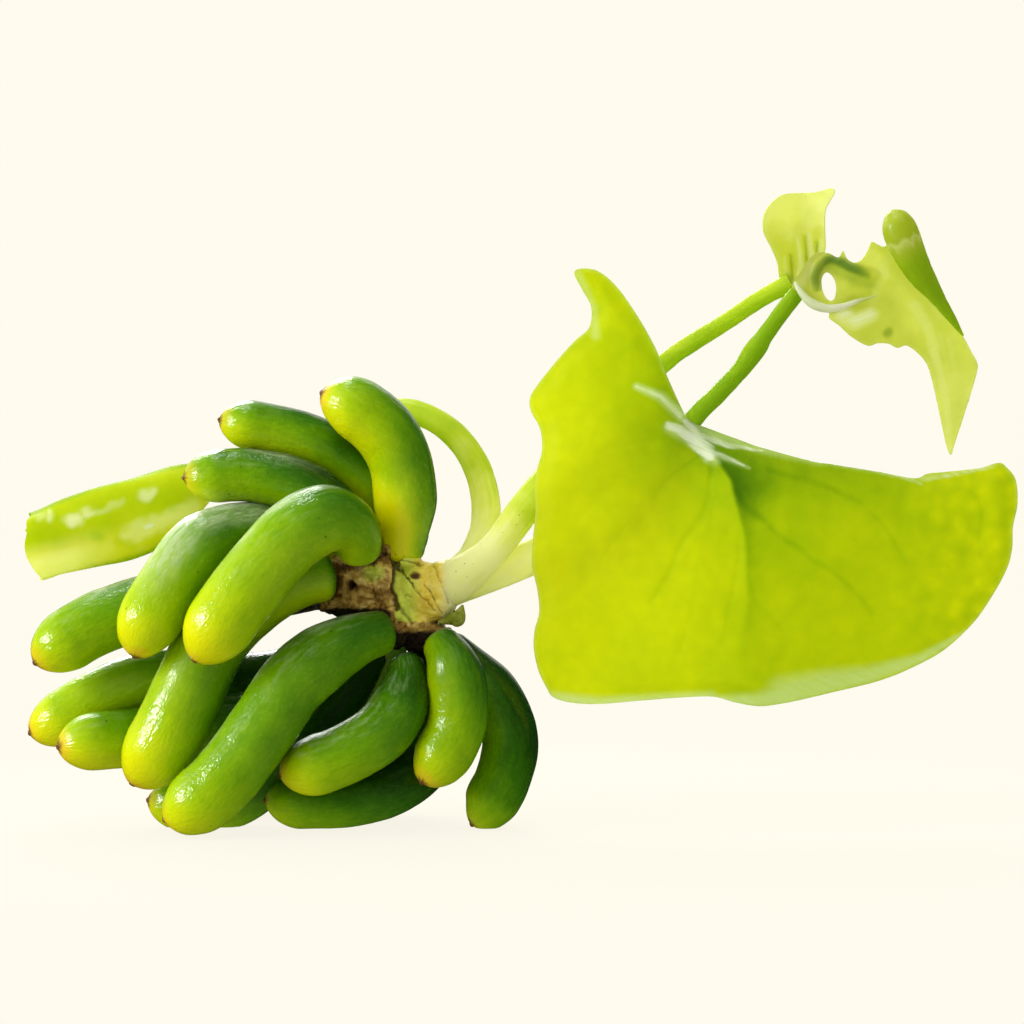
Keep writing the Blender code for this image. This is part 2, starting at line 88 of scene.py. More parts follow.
# Each tuber: girth, neck width, tone from green 0 to yellow 1, how much dull painted sheen it has on
# top, and its route to the tip.
TUBERS = {
    "tuber_01": (6.9, 4.2, 0.66, 0.25,
                 [(-12.8, 29.4, 0.8), (-12.7, 34.0, 0.4), (-12.7, 37.6, 0.0), (-13.3, 41.0, -0.4),
                  (-14.9, 43.9, -0.8), (-18.0, 46.5, -1.2), (-21.9, 48.3, -1.6)]),
    "tuber_02": (5.5, 3.4, 0.36, 0.35,
                 [(-14.5, 30.4, 4.8), (-15.0, 34.0, 4.9), (-16.1, 37.5, 4.8), (-18.6, 40.3, 4.2),
                  (-22.2, 42.7, 3.4), (-26.4, 44.0, 3.0), (-33.1, 45.2, 2.0)]),
    "tuber_03": (5.8, 3.0, 0.29, 0.66,
                 [(-16.7, 30.7, 1.6), (-18.4, 33.4, 0.8), (-21.0, 35.9, 0.0), (-24.5, 38.0, -0.2),
                  (-29.7, 39.1, 0.0), (-34.1, 39.0, -0.6), (-37.1, 38.8, -1.2)]),
    "tuber_04": (7.6, 4.8, 0.92, 0.4,
                 [(-17.9, 30.0, -2.6), (-18.0, 32.3, -4.4), (-19.4, 33.9, -6.0), (-22.1, 34.2, -7.8),
                  (-25.2, 32.4, -9.2), (-28.2, 29.1, -10.1), (-31.0, 25.6, -10.6),
                  (-33.5, 22.1, -10.9), (-35.9, 18.7, -10.9)]),
    "tuber_05": (7.0, 3.2, 0.78, 1.1,
                 [(-18.7, 30.2, 4.2), (-21.6, 31.9, 3.8), (-25.3, 32.7, 3.2), (-29.2, 32.7, 0.4),
                  (-32.7, 32.3, -2.2), (-35.7, 30.8, -4.3), (-38.5, 27.0, -5.4), (-41.0, 22.8, -6.2),
                  (-42.4, 19.1, -6.6)]),
    "tuber_06": (6.9, 3.2, 0.52, 0.45,
                 [(-20.1, 26.5, 3.4), (-24.2, 26.5, 4.2), (-29.7, 26.1, 4.2), (-35.2, 25.8, 3.6),
                  (-39.6, 25.1, 3.0), (-43.5, 24.0, 2.2), (-47.2, 22.5, 1.4), (-50.5, 20.5, 0.6),
                  (-53.4, 18.4, 0.0)]),
    "tuber_07": (6.1, 3.0, 0.88, 0.2,
                 [(-15.4, 25.4, 6.9), (-17.4, 23.4, 9.2), (-21.2, 19.3, 11.0), (-25.5, 17.2, 11.9),
                  (-30.8, 16.5, 10.8), (-36.3, 16.8, 8.2), (-41.8, 16.6, 6.8), (-46.8, 14.5, 6.4),
                  (-50.6, 12.3, 6.2), (-54.0, 10.8, 5.8)]),
    "tuber_08": (6.3, 3.0, 0.74, 0.2,
                 [(-17.4, 23.0, 3.8), (-18.6, 19.4, 5.2), (-21.6, 15.7, 6.3), (-27.0, 12.7, 6.7),
                  (-32.5, 11.9, 6.0), (-38.0, 11.1, 5.0), (-42.9, 10.2, 2.9), (-47.3, 9.8, 0.8),
                  (-50.9, 9.3, -0.6)]),
    "tuber_09": (7.9, 5.0, 0.78, 0.2,
                 [(-20.3, 28.0, -1.0), (-24.2, 27.5, -1.9), (-28.4, 26.1, -2.6), (-31.6, 23.8, -2.6),
                  (-34.1, 20.6, -2.8), (-36.4, 15.6, -3.6), (-39.1, 10.1, -3.8), (-42.7, 5.1, -3.0)]),
    "tuber_10": (7.4, 4.8, 0.54, 0.3,
                 [(-14.2, 22.0, -1.6), (-17.5, 21.2, -3.6), (-21.2, 19.4, -5.4), (-25.0, 16.3, -6.8),
                  (-28.0, 11.9, -7.6), (-31.0, 7.8, -8.0), (-34.0, 4.3, -8.0), (-36.7, 2.5, -8.0),
                  (-39.2, 1.2, -7.8)]),
    "tuber_11": (6.55, 3.8, 0.44, 0.2,
                 [(-13.0, 19.4, -0.8), (-12.5, 17.3, -1.8), (-13.0, 14.4, -3.0), (-14.8, 11.4, -4.4),
                  (-18.4, 8.9, -5.2), (-22.4, 7.2, -5.6), (-26.5, 6.1, -5.6)]),
    "tuber_12": (5.8, 3.0, -0.1, 0.15,
                 [(-11.6, 20.0, 3.1), (-10.1, 17.0, 3.6), (-8.8, 12.2, 3.2), (-10.2, 7.7, 2.0),
                  (-14.0, 4.7, 0.2), (-18.8, 3.4, -0.8), (-23.7, 3.2, -1.4), (-28.1, 3.3, -1.8)]),
    "tuber_13": (6.3, 4.0, 0.5, 0.15,
                 [(-9.3, 21.6, -1.0), (-7.6, 18.6, -2.7), (-6.8, 15.0, -3.0), (-7.2, 11.1, -3.1),
                  (-9.0, 7.7, -3.8), (-10.9, 5.3, -4.7)]),
    "tuber_14": (6.1, 3.2, -0.06, 0.2,
                 [(-8.3, 21.3, 2.5), (-5.5, 18.0, 2.7), (-2.5, 14.1, 2.8), (-1.1, 10.0, 2.8),
                  (-1.9, 5.8, 2.2), (-3.7, 2.6, 1.8), (-5.4, 0.7, 1.4)]),
    "tuber_15": (5.6, 2.8, 0.25, 0.1,
                 [(-15.4, 20.1, 1.6), (-17.9, 16.2, 1.4), (-22.2, 11.2, 0.9), (-26.6, 6.8, 3.1),
                  (-31.4, 3.3, 3.6), (-36.0, 2.8, 3.0), (-41.0, 3.4, 2.4)]),
    "tuber_16": (5.8, 2.8, 0.35, 0.3,
                 [(-16.9, 28.5, 6.6), (-18.2, 33.0, 9.6), (-20.9, 37.0, 12.6), (-25.3, 39.4, 15.0),
                  (-30.0, 40.4, 16.4)]),
    "tuber_17": (6.0, 2.8, 0.4, 0.3,
                 [(-18.7, 25.4, 6.2), (-22.2, 27.4, 9.6), (-27.5, 28.4, 12.4), (-33.5, 27.8, 14.0),
                  (-38.5, 26.6, 14.4), (-43.0, 25.4, 14.0)]),
    "tuber_18": (6.0, 2.8, 0.3, 0.2,
                 [(-13.8, 22.2, 5.6), (-15.0, 18.4, 10.6), (-18.2, 14.0, 14.6), (-24.0, 9.2, 16.4),
                  (-29.4, 4.8, 16.0), (-34.2, 3.4, 15.0)]),
    "tuber_19": (6.0, 2.8, 0.25, 0.2,
                 [(-11.6, 24.6, 6.9), (-9.8, 19.4, 10.4), (-9.2, 14.2, 13.2), (-11.4, 9.2, 14.4),
                  (-15.6, 5.2, 14.0), (-20.4, 3.3, 13.2)]),
    "tuber_20": (5.8, 2.8, 0.45, 0.3,
                 [(-12.6, 28.5, 6.9), (-13.0, 33.6, 9.8), (-13.1, 38.2, 12.4), (-13.6, 42.2, 13.6)]),
}
# The rounded tip's length against half the girth; the nub's length in millimetres, and its width
# against the tuber's.
TIP_BLUNTNESS = 1.4
NUB_LENGTH = 0.14
NUB_WIDTH = 0.1

# Each stalk: how green it gets, where that starts and ends along it, how dotted, and its route
# with the radius as a fourth number.
STALKS = {
    "stalk_rolled_leaf": (0.6, 0.05, 0.46, 0.2,
                          [(-9.6, 26.8, 1.8, 1.2), (-8.0, 27.7, 2.0, 1.5), (-6.5, 28.9, 2.4, 1.55),
                           (-5.1, 30.6, 3.0, 1.5), (-3.9, 33.4, 3.8, 1.6), (-3.9, 36.9, 4.6, 1.6),
                           (-5.2, 40.9, 5.8, 1.5), (-7.9, 44.2, 7.2, 1.4), (-11.8, 46.1, 8.8, 1.4),
                           (-16.0, 45.9, 9.8, 1.4), (-21.0, 44.0, 10.4, 1.4),
                           (-27.5, 41.6, 10.8, 1.4), (-33.4, 39.1, 11.0, 1.4)]),
    "stalk_upright_leaf": (0.7, 0.11, 0.4, 1.0,
                           [(-9.8, 26.2, 0.7, 1.9), (-8.2, 26.9, 0.1, 2.5), (-6.6, 27.9, -0.4, 2.35),
                            (-4.6, 29.4, -0.8, 1.95), (-2.5, 31.4, -1.0, 1.75), (1.7, 37.0, 0.6, 1.8),
                            (8.8, 45.0, 2.6, 1.4), (16.0, 51.7, 4.0, 1.05), (22.2, 55.8, 4.6, 1.0),
                            (26.8, 58.8, 4.7, 0.98), (29.8, 60.3, 4.4, 1.2)]),
    "stem_big_leaf": (1.0, 0.3, 0.7, 0.1,
                      [(-10.4, 25.6, 1.4, 1.5), (-8.4, 26.3, 1.2, 1.85), (-6.5, 27.0, 1.4, 1.85),
                       (-2.5, 28.4, 1.7, 1.8), (1.7, 30.4, 1.2, 2.0), (8.8, 33.6, -0.2, 1.8),
                       (14.9, 39.6, -1.0, 1.3), (19.0, 45.2, -1.2, 1.05), (21.9, 48.2, -0.6, 1.0),
                       (24.3, 50.8, 0.3, 0.98), (25.5, 52.5, 0.7, 1.16), (26.3, 53.6, 1.0, 1.12),
                       (27.1, 54.8, 1.3, 0.94), (30.4, 59.2, 2.2, 0.9)]),
}
# Routes of the withered root and of the bract, with the radius as a fourth number.
ROOT_ROUTE = [(-18.9, 24.6, 0.8, 0.9), (-20.4, 24.5, 0.8, 0.75), (-21.6, 24.7, 1.0, 0.45),
              (-23.7, 24.4, 1.2, 0.36), (-25.6, 23.9, 1.2, 0.34), (-27.4, 22.8, 1.0, 0.15)]
BRACT_ROUTE = [(-8.9, 23.0, -0.6, 0.3), (-8.2, 23.1, -1.0, 0.42), (-7.5, 23.3, -1.3, 0.75),
               (-7.0, 23.4, -1.5, 0.98), (-6.7, 23.8, -1.5, 0.75), (-6.45, 24.5, -1.4, 0.3),
               (-6.35, 24.85, -1.4, 0.08)]

# Colours of a stalk from its pale foot to its green end.
STALK_STOPS = [(0.0, (246, 248, 186)), (0.25, (234, 240, 130)), (0.5, (206, 223, 56)),
               (0.75, (182, 210, 30)), (1.0, (150, 190, 6))]

# The big leaf's margin as seen from the front, clockwise from the end of the upper lobe.
BIG_LEAF_RIM = [
    (18.7, 45.1), (17.8, 46.4), (16.0, 50.4), (14.9, 53.1), (13.0, 56.5), (10.6, 59.9),
    (8.3, 61.7), (6.0, 61.6), (6.8, 59.6), (7.8, 57.7), (7.6, 55.4), (6.0, 53.9), (4.0, 51.7),
    (2.0, 49.2), (1.1, 47.7), (1.2, 46.2), (2.2, 44.2), (2.4, 41.9), (1.9, 39.9), (1.6, 37.5),
    (1.7, 35.1), (1.4, 32.0), (1.3, 29.3), (1.9, 26.5), (2.1, 24.1), (1.6, 22.1), (1.5, 20.1),
    (2.0, 17.7), (2.9, 15.8), (3.7, 14.7), (5.9, 14.1), (8.8, 14.0), (13.7, 14.4), (17.7, 14.7),
    (21.2, 14.8), (23.5, 14.2), (26.2, 13.75), (28.5, 14.0), (30.6, 14.4), (34.4, 15.3),
    (39.6, 16.6), (43.7, 18.3), (46.8, 20.1), (49.8, 22.9), (51.8, 25.7), (53.5, 28.8),
    (54.1, 31.1), (54.2, 33.5), (54.7, 36.0), (54.5, 38.6), (53.5, 40.0), (52.6, 40.5),
    (50.4, 39.9), (46.8, 39.5), (44.8, 39.3), (43.3, 38.8), (39.4, 39.5), (34.5, 40.3),
    (31.9, 40.7), (26.4, 42.2), (24.7, 42.8), (20.9, 44.2),
]
# Its depth at places across it: across, up, back.
BIG_LEAF_DEPTHS = [
    (18.9, 44.3, -2.8), (8.4, 62.0, -1.6), (4.2, 62.6, -1.3), (8.6, 57.4, -2.0), (6.3, 53.6, -2.6),
    (2.6, 50.4, -2.7), (0.3, 47.8, -2.5), (3.0, 43.4, -3.1), (1.6, 36.4, -3.4), (2.0, 28.7, -3.4),
    (1.7, 21.0, -3.2), (2.3, 14.1, -2.8), (9.9, 14.2, -3.8), (17.6, 14.6, -5.2), (24.2, 13.8, -6.2),
    (30.8, 13.9, -4.6), (38.0, 15.9, -2.6), (45.3, 18.8, -0.8), (51.4, 24.1, 0.8),
    (54.2, 30.7, 2.0), (55.0, 37.2, 2.6), (52.6, 41.6, 3.0), (16.3, 50.3, -3.2), (13.0, 56.7, -2.6),
    (31.0, 41.2, -2.2), (42.6, 38.5, 0.6), (10.0, 44.0, -4.3), (10.0, 32.0, -4.8),
    (10.5, 22.0, -4.7), (23.0, 36.0, -4.9), (24.0, 25.0, -6.2), (33.0, 33.0, -3.7),
    (43.0, 30.0, -1.2), (36.0, 24.0, -3.6),
]
# The notch where the stem meets it, and the corners of the part that has the finest mesh.
BIG_LEAF_NOTCH = np.array((19.0, 43.9))
BIG_LEAF_FINE = [(12.0, 38.0), (29.0, 50.0)]
# The fold along the leaf's midrib, up to the notch: how far up, and how far across.
FOLD_UP = [14.0, 19.9, 25.4, 32.0, 38.6, 43.0, 45.0]
FOLD_ACROSS = [23.9, 24.6, 25.1, 24.8, 23.2, 20.2, 18.6]

# Its veins: a line, its width and its strength.
BIG_LEAF_VEINS = [
    ([(21.1, 39.9), (20.7, 36.2), (19.0, 33.2), (17.7, 31.5), (16.1, 27.7), (14.4, 25.2)], 0.6, 0.8),
    ([(23.7, 37.5), (25.4, 35.3), (29.6, 31.9), (33.9, 28.9), (37.2, 26.0), (38.7, 24.1)], 0.6, 1.0),
    ([(27.5, 39.7), (33.0, 38.1), (37.2, 36.2), (39.8, 33.7), (42.4, 29.8)], 0.55, 0.7),
    ([(42.4, 29.8), (45.1, 29.2), (47.9, 28.9)], 0.4, 0.35),
    ([(24.3, 33.2), (23.7, 28.9), (23.1, 25.4), (22.2, 20.5)], 0.45, 0.45),
    ([(25.0, 28.2), (25.9, 25.6), (28.8, 22.2)], 0.45, 0.45),
    ([(19.8, 41.4), (16.5, 38.6), (12.1, 34.2), (8.8, 29.8)], 0.5, 0.3),
    ([(19.2, 43.0), (14.3, 43.0), (8.8, 41.9)], 0.5, 0.3),
    ([(21.4, 36.4), (19.8, 29.8), (18.7, 23.2), (16.5, 17.7)], 0.5, 0.3),
    ([(48.4, 38.6), (50.8, 35.8), (50.4, 32.3), (51.2, 28.9)], 0.4, 0.5),
]
# The torn film along its upper margin, painted near white as a wet highlight: a line, its width,
# its strength and the width's share at each end.
BIG_LEAF_FILM_AND_GLOSS = [
    ([(12.8, 48.9), (14.3, 48.3), (15.4, 47.8), (16.4, 46.8), (17.6, 45.7)], 0.6, 0.62, 0.6, 1.1),
    ([(16.3, 44.6), (17.6, 44.1), (18.9, 43.0), (20.7, 41.3)], 1.5, 0.85, 0.6, 0.9),
    ([(18.2, 45.0), (19.4, 43.6), (21.0, 41.9)], 1.1, 0.7, 0.7, 0.9),
    ([(19.0, 43.6), (22.8, 42.4), (26.6, 41.8)], 0.9, 0.62, 1.2, 0.3),
    ([(19.6, 42.3), (22.4, 41.2), (24.6, 40.2)], 0.9, 0.62, 1.2, 0.3),
    ([(34.5, 40.3), (38.6, 39.7), (42.0, 39.0), (44.0, 38.4)], 0.8, 0.5, 0.4, 1.2),
    ([(44.0, 38.6), (48.6, 39.4), (52.0, 40.1)], 0.7, 0.5, 1.1, 0.8),
]
# Paler, thinner skin along the margin, and a pale painted wet sheen around the film, in the same way.
BIG_LEAF_THIN_AND_SHEEN = [
    ([(3.0, 14.6), (9.0, 14.0), (14.0, 14.3), (21.0, 14.6)], 1.2, 0.9, 1.0, 1.0),
    ([(21.5, 14.4), (26.0, 14.3), (30.0, 15.2)], 1.7, 0.95, 0.5, 1.2),
    ([(29.0, 15.0), (34.0, 16.3), (38.5, 17.2), (44.0, 19.0), (49.0, 22.0)], 2.6, 0.9, 1.1, 0.1),
    ([(6.2, 61.4), (7.2, 59.4), (8.0, 57.5), (8.3, 54.5)], 0.8, 0.5, 1.0, 1.0),
    ([(11.5, 59.2), (13.4, 56.2), (15.2, 52.6)], 0.5, 0.4, 1.0, 0.6),
    ([(12.8, 48.9), (15.4, 47.8), (17.8, 45.6)], 0.9, 0.8, 0.7, 1.2),
    ([(16.4, 44.4), (18.9, 43.0), (21.4, 41.0)], 1.5, 0.55, 0.7, 0.8),
    ([(18.8, 44.4), (23.0, 43.0), (28.0, 41.7), (33.0, 40.6)], 1.1, 0.55, 1.1, 0.6),
    ([(19.8, 42.0), (22.6, 41.0), (25.2, 39.9)], 0.9, 0.5, 1.0, 0.3),
]

# The upright leaf's margin and its depths, then its pale streaks and its dark ribs.
UPRIGHT_RIM = [
    (28.6, 60.7), (28.3, 62.5), (27.6, 64.2), (26.8, 65.8), (26.7, 67.2), (27.1, 68.4),
    (28.05, 69.5), (29.3, 70.1), (32.3, 70.25), (34.2, 70.7), (34.6, 70.3), (34.2, 69.5),
    (33.6, 68.3), (33.5, 66.6), (33.5, 63.8), (32.6, 62.5), (32.1, 61.3), (30.9, 60.1),
    (29.7, 60.3),
]
UPRIGHT_DEPTHS = [
    (28.6, 60.7, 4.4), (31.0, 60.1, 4.0), (26.8, 66.0, 3.0), (30.2, 66.5, 6.0), (33.7, 66.5, 3.7),
    (27.7, 69.3, 3.4), (31.2, 70.2, 5.8), (34.6, 70.8, 4.4), (27.9, 63.5, 3.5), (30.8, 63.0, 5.5),
    (33.5, 63.6, 3.7),
]
UPRIGHT_STREAKS = [
    ([(30.6, 60.4), (30.9, 62.3), (30.5, 65.2)], 0.5, 0.75),
    ([(31.9, 61.0), (32.1, 62.8), (31.8, 65.6)], 0.6, 0.8),
    ([(29.3, 61.0), (29.0, 63.2)], 0.4, 0.5),
    ([(33.0, 62.4), (33.1, 65.0)], 0.45, 0.7),
]
UPRIGHT_RIBS = [
    ([(31.3, 60.6), (31.6, 62.6), (31.3, 65.4)], 0.5),
    ([(32.7, 61.8), (32.7, 64.8)], 0.45),
    ([(29.9, 60.9), (29.7, 63.4)], 0.4),
]

# The curled leaf's margin, the edge of its hole, and its depths.
CURLED_RIM = [
    (29.9, 60.0), (30.9, 61.6), (31.7, 62.9), (32.6, 63.6), (33.8, 63.6), (35.0, 63.1),
    (35.5, 63.8), (36.0, 62.9), (36.8, 62.5), (37.6, 62.9), (38.25, 63.9), (38.65, 64.8),
    (39.4, 64.5), (40.1, 64.3), (41.0, 65.2), (42.3, 64.6), (43.6, 62.2), (45.3, 59.4),
    (46.9, 57.0), (48.4, 55.0), (49.6, 52.8), (50.25, 51.6), (50.25, 50.5), (49.2, 46.9),
    (47.8, 42.6), (47.4, 41.4), (46.9, 42.3), (46.3, 45.0), (45.6, 48.3), (44.8, 51.2),
    (43.7, 52.6), (42.5, 53.4), (41.5, 53.15), (40.5, 53.6), (39.3, 53.65), (38.2, 53.4),
    (36.4, 54.4), (35.2, 55.5), (34.0, 56.4), (33.95, 57.0), (33.0, 57.2), (31.7, 57.9),
    (30.7, 58.9),
]
CURLED_HOLE = [(33.55, 61.4), (34.1, 61.3), (34.6, 60.6), (34.75, 59.6), (34.6, 58.7),
               (34.2, 58.3), (33.6, 58.7), (33.2, 59.7), (33.15, 60.7)]
CURLED_DEPTHS = [
    (30.6, 59.6, 1.7), (32.4, 62.9, 1.7), (35.1, 63.4, 1.6), (37.3, 62.3, 1.6), (38.8, 64.2, 1.4),
    (41.0, 62.6, 2.6), (43.4, 61.2, 2.9), (42.5, 66.0, 2.0), (45.5, 58.2, 2.7), (47.8, 54.6, 2.5),
    (49.9, 49.6, 2.4), (49.1, 45.2, 2.3), (47.1, 40.7, 2.4), (45.3, 46.2, 2.6), (44.5, 49.9, 2.7),
    (43.6, 54.4, 3.1), (41.5, 55.4, 2.7), (39.4, 55.9, 2.2), (37.6, 56.2, 1.7), (35.0, 57.8, 0.9),
    (32.9, 57.9, 0.9), (35.1, 61.3, 2.2), (39.3, 60.0, 2.6), (45.2, 52.2, 3.1), (36.8, 59.4, 2.0),
]
# Its fold above the hole.
CURLED_HEM = [(32.5, 59.8), (32.45, 61.2), (33.0, 62.4), (34.1, 63.0), (35.2, 62.7),
              (36.4, 62.1), (37.8, 61.6), (38.9, 61.2)]
# Where it is brighter or, below 0, darker, as painted light and shade, and one small dark spot: a
# line, its width and by how much.
CURLED_SHADING_AND_SPOT = [
    ([(32.6, 61.0), (34.4, 61.9), (36.4, 61.2), (38.6, 60.4)], 1.7, -0.24),
    ([(39.0, 63.4), (41.0, 60.0), (43.0, 56.0)], 1.8, 0.12),
    ([(46.5, 55.0), (48.6, 50.0), (47.8, 44.0)], 1.6, -0.07),
    ([(40.4, 54.8), (40.5, 54.9)], 0.9, -0.34),
    ([(34.8, 57.6), (36.6, 58.6), (38.4, 58.9)], 0.8, -0.15),
]
# Its paler parts, of which the widest, under the lip, is a painted wet highlight: a line, its width
# and its strength.
CURLED_STREAKS = [
    ([(45.2, 53.6), (46.2, 50.4), (47.0, 46.4), (47.2, 43.0)], 1.0, 0.5),
    ([(47.2, 54.0), (47.9, 50.4), (47.9, 46.4)], 0.7, 0.3),
    ([(46.2, 54.6), (47.0, 51.0)], 0.6, 0.25),
    ([(42.0, 63.2), (44.2, 59.8), (46.2, 56.6)], 0.9, 0.3),
    ([(43.4, 57.8), (44.8, 55.4), (45.6, 53.4)], 1.3, 0.45),
    ([(40.6, 63.4), (39.6, 60.4), (38.8, 58.2)], 1.3, 0.3),
    ([(35.4, 56.8), (36.8, 56.0), (38.6, 56.8)], 1.7, 0.95),
    ([(30.6, 59.8), (31.3, 60.9), (32.0, 62.2)], 1.0, 0.5),
]
# Its rolled margins: the colours along one, where along it they start and end, and its route with
# the radius as a fourth number.
# The roll's pale band near its middle and the lip's near-white colours are painted highlights.
MARGINS = {
    "curled_leaf_roll": ([(0.0, (194, 206, 96)), (0.16, (178, 194, 40)), (0.36, (176, 192, 40)),
                          (0.46, (206, 214, 120)), (0.58, (178, 196, 50)), (0.8, (166, 194, 20)),
                          (1.0, (152, 186, 10))],
                         0.04, 0.5,
                         [(41.0, 68.35, 0.9, 0.3), (41.1, 68.05, 0.9, 0.95), (41.3, 67.5, 0.9, 1.45),
                          (41.6, 66.6, 0.8, 1.85), (42.1, 65.2, 0.7, 1.95), (42.8, 63.6, 0.6, 1.8),
                          (44.1, 61.2, 0.7, 1.45), (45.7, 58.9, 0.9, 0.95), (47.2, 56.8, 1.3, 0.55),
                          (48.7, 54.5, 1.9, 0.12)]),
    "curled_leaf_lip": ([(0.0, (214, 226, 176)), (0.3, (240, 243, 226)), (0.7, (236, 240, 214)),
                         (1.0, (214, 224, 150))],
                        0.3, 1.0,
                        [(30.2, 60.3, 1.0, 0.18), (31.0, 59.1, 0.7, 0.4), (32.2, 58.0, 0.4, 0.52),
                         (33.8, 57.5, 0.4, 0.46), (35.4, 57.7, 0.7, 0.36), (37.2, 58.3, 1.2, 0.24),
                         (39.2, 58.9, 1.8, 0.06)]),
}
# The rolled leaf: the middle of the roll, its half height and half depth, from stalk to end.
ROLL = [(-33.0, 39.2, 11.0, 1.4, 1.3), (-35.6, 37.5, 11.0, 2.9, 2.0), (-38.6, 35.9, 10.9, 4.1, 2.5),
        (-42.4, 34.5, 10.7, 4.4, 2.7), (-46.4, 33.5, 10.3, 4.3, 2.8), (-50.6, 32.3, 9.8, 4.05, 2.7),
        (-54.4, 31.4, 9.2, 3.8, 2.6)]
# Its soft painted glints: a line, its width and its strength.
ROLL_GLINTS = [
    ([(-52.8, 34.6), (-52.0, 34.7)], 0.7, 0.35),
    ([(-51.7, 35.1), (-51.6, 34.1)], 0.6, 0.7),
    ([(-49.5, 34.2), (-49.0, 34.0)], 1.25, 0.9),
    ([(-47.8, 34.9), (-47.3, 35.0)], 0.9, 0.65),
    ([(-46.8, 35.2), (-43.8, 36.0)], 0.7, 0.35),
    ([(-41.0, 37.0), (-40.6, 37.5)], 1.2, 0.75),
    ([(-42.9, 32.7), (-40.4, 33.7), (-36.0, 35.6)], 1.5, 0.5),
]


def paint(red, green, blue):
    """A colour given in screen values from 0 to 255, as Blender's linear one."""
    def straight(value):
        value /= 255.0
        return value / 12.92 if value <= 0.04045 else ((value + 0.055) / 1.055) ** 2.4
    return (straight(red), straight(green), straight(blue), 1.0)


def spots(places):
    """World places, in metres, of places seen from the front, in millimetres."""
    places = np.asarray(places, float)
    rise = (places[:, 1] - AIM_UP) / VIEW_DISTANCE
    depth = VIEW_DISTANCE + places[:, 2] * math.cos(VIEW_TILT)
    height = rise * depth - places[:, 2] * math.sin(VIEW_TILT)
    height = height / (math.cos(VIEW_TILT) + rise * math.sin(VIEW_TILT))
    depth = depth - height * math.sin(VIEW_TILT)
    sideways = AIM_ACROSS + (places[:, 0] - AIM_ACROSS) * depth / VIEW_DISTANCE
    return np.stack([sideways - MIDDLE_ACROSS, places[:, 2] - MIDDLE_BACK, AIM_UP + height], 1) * MM


def smooth_line(values, steps, closed=False):
    """A Catmull-Rom run through rows of numbers, with steps between each two."""
    values = np.asarray(values, float)
    if closed:
        ends = np.vstack([values[-1:], values, values[:2]])
    else:
        ends = np.vstack([2 * values[:1] - values[1:2], values, 2 * values[-1:] - values[-2:-1]])
    t = (np.arange(steps) / steps)[:, None]
    runs = []
    for a, b, c, d in zip(ends, ends[1:], ends[2:], ends[3:]):
        runs.append(0.5 * (2 * b + (c - a) * t + (2 * a - 5 * b + 4 * c - d) * t * t
                           + (3 * b - a - 3 * c + d) * t ** 3))
    if not closed:
        runs.append(values[-1:])
    return np.vstack(runs)


def at_shares(line, shares):
    """The rows of a line at shares of its length in its first three columns."""
    lengths = np.linalg.norm(np.diff(line[:, :3], axis=0), axis=1)
    run = np.concatenate([[0.0], np.cumsum(lengths)])
    wanted = np.asarray(shares) * run[-1]
    return np.stack([np.interp(wanted, run, line[:, i]) for i in range(line.shape[1])], 1), run[-1]


def ease(low, high, value):
    """0 below low, 1 above high and smooth between; low may be the higher one."""
    share = np.clip((np.asarray(value, float) - low) / (high - low), 0.0, 1.0)
    return share * share * (3.0 - 2.0 * share)


class Wire:
    """An output socket of a node tree that can be used in sums."""

    def __init__(self, board, socket):
        self.board = board
        self.socket = socket

    def __add__(self, other):
        return self.board.math("ADD", self, other)

    def __sub__(self, other):
        return self.board.math("SUBTRACT", self, other)

    def __rsub__(self, other):
        return self.board.math("SUBTRACT", other, self)

    def __mul__(self, other):
        return self.board.math("MULTIPLY", self, other)

    def __truediv__(self, other):
        return self.board.math("DIVIDE", self, other)

    def __pow__(self, other):
        return self.board.math("POWER", self, other)

    def most(self, other):
        return self.board.math("MAXIMUM", self, other)

    def least(self, other):
        return self.board.math("MINIMUM", self, other)

    def step(self, low, high):
        """0 below low, 1 above high and smooth between."""
        return self.board.node("ShaderNodeMapRange", {"interpolation_type": "SMOOTHSTEP"},
                               {"Value": self, "From Min": low, "From Max": high})

    __radd__ = __add__
    __rmul__ = __mul__


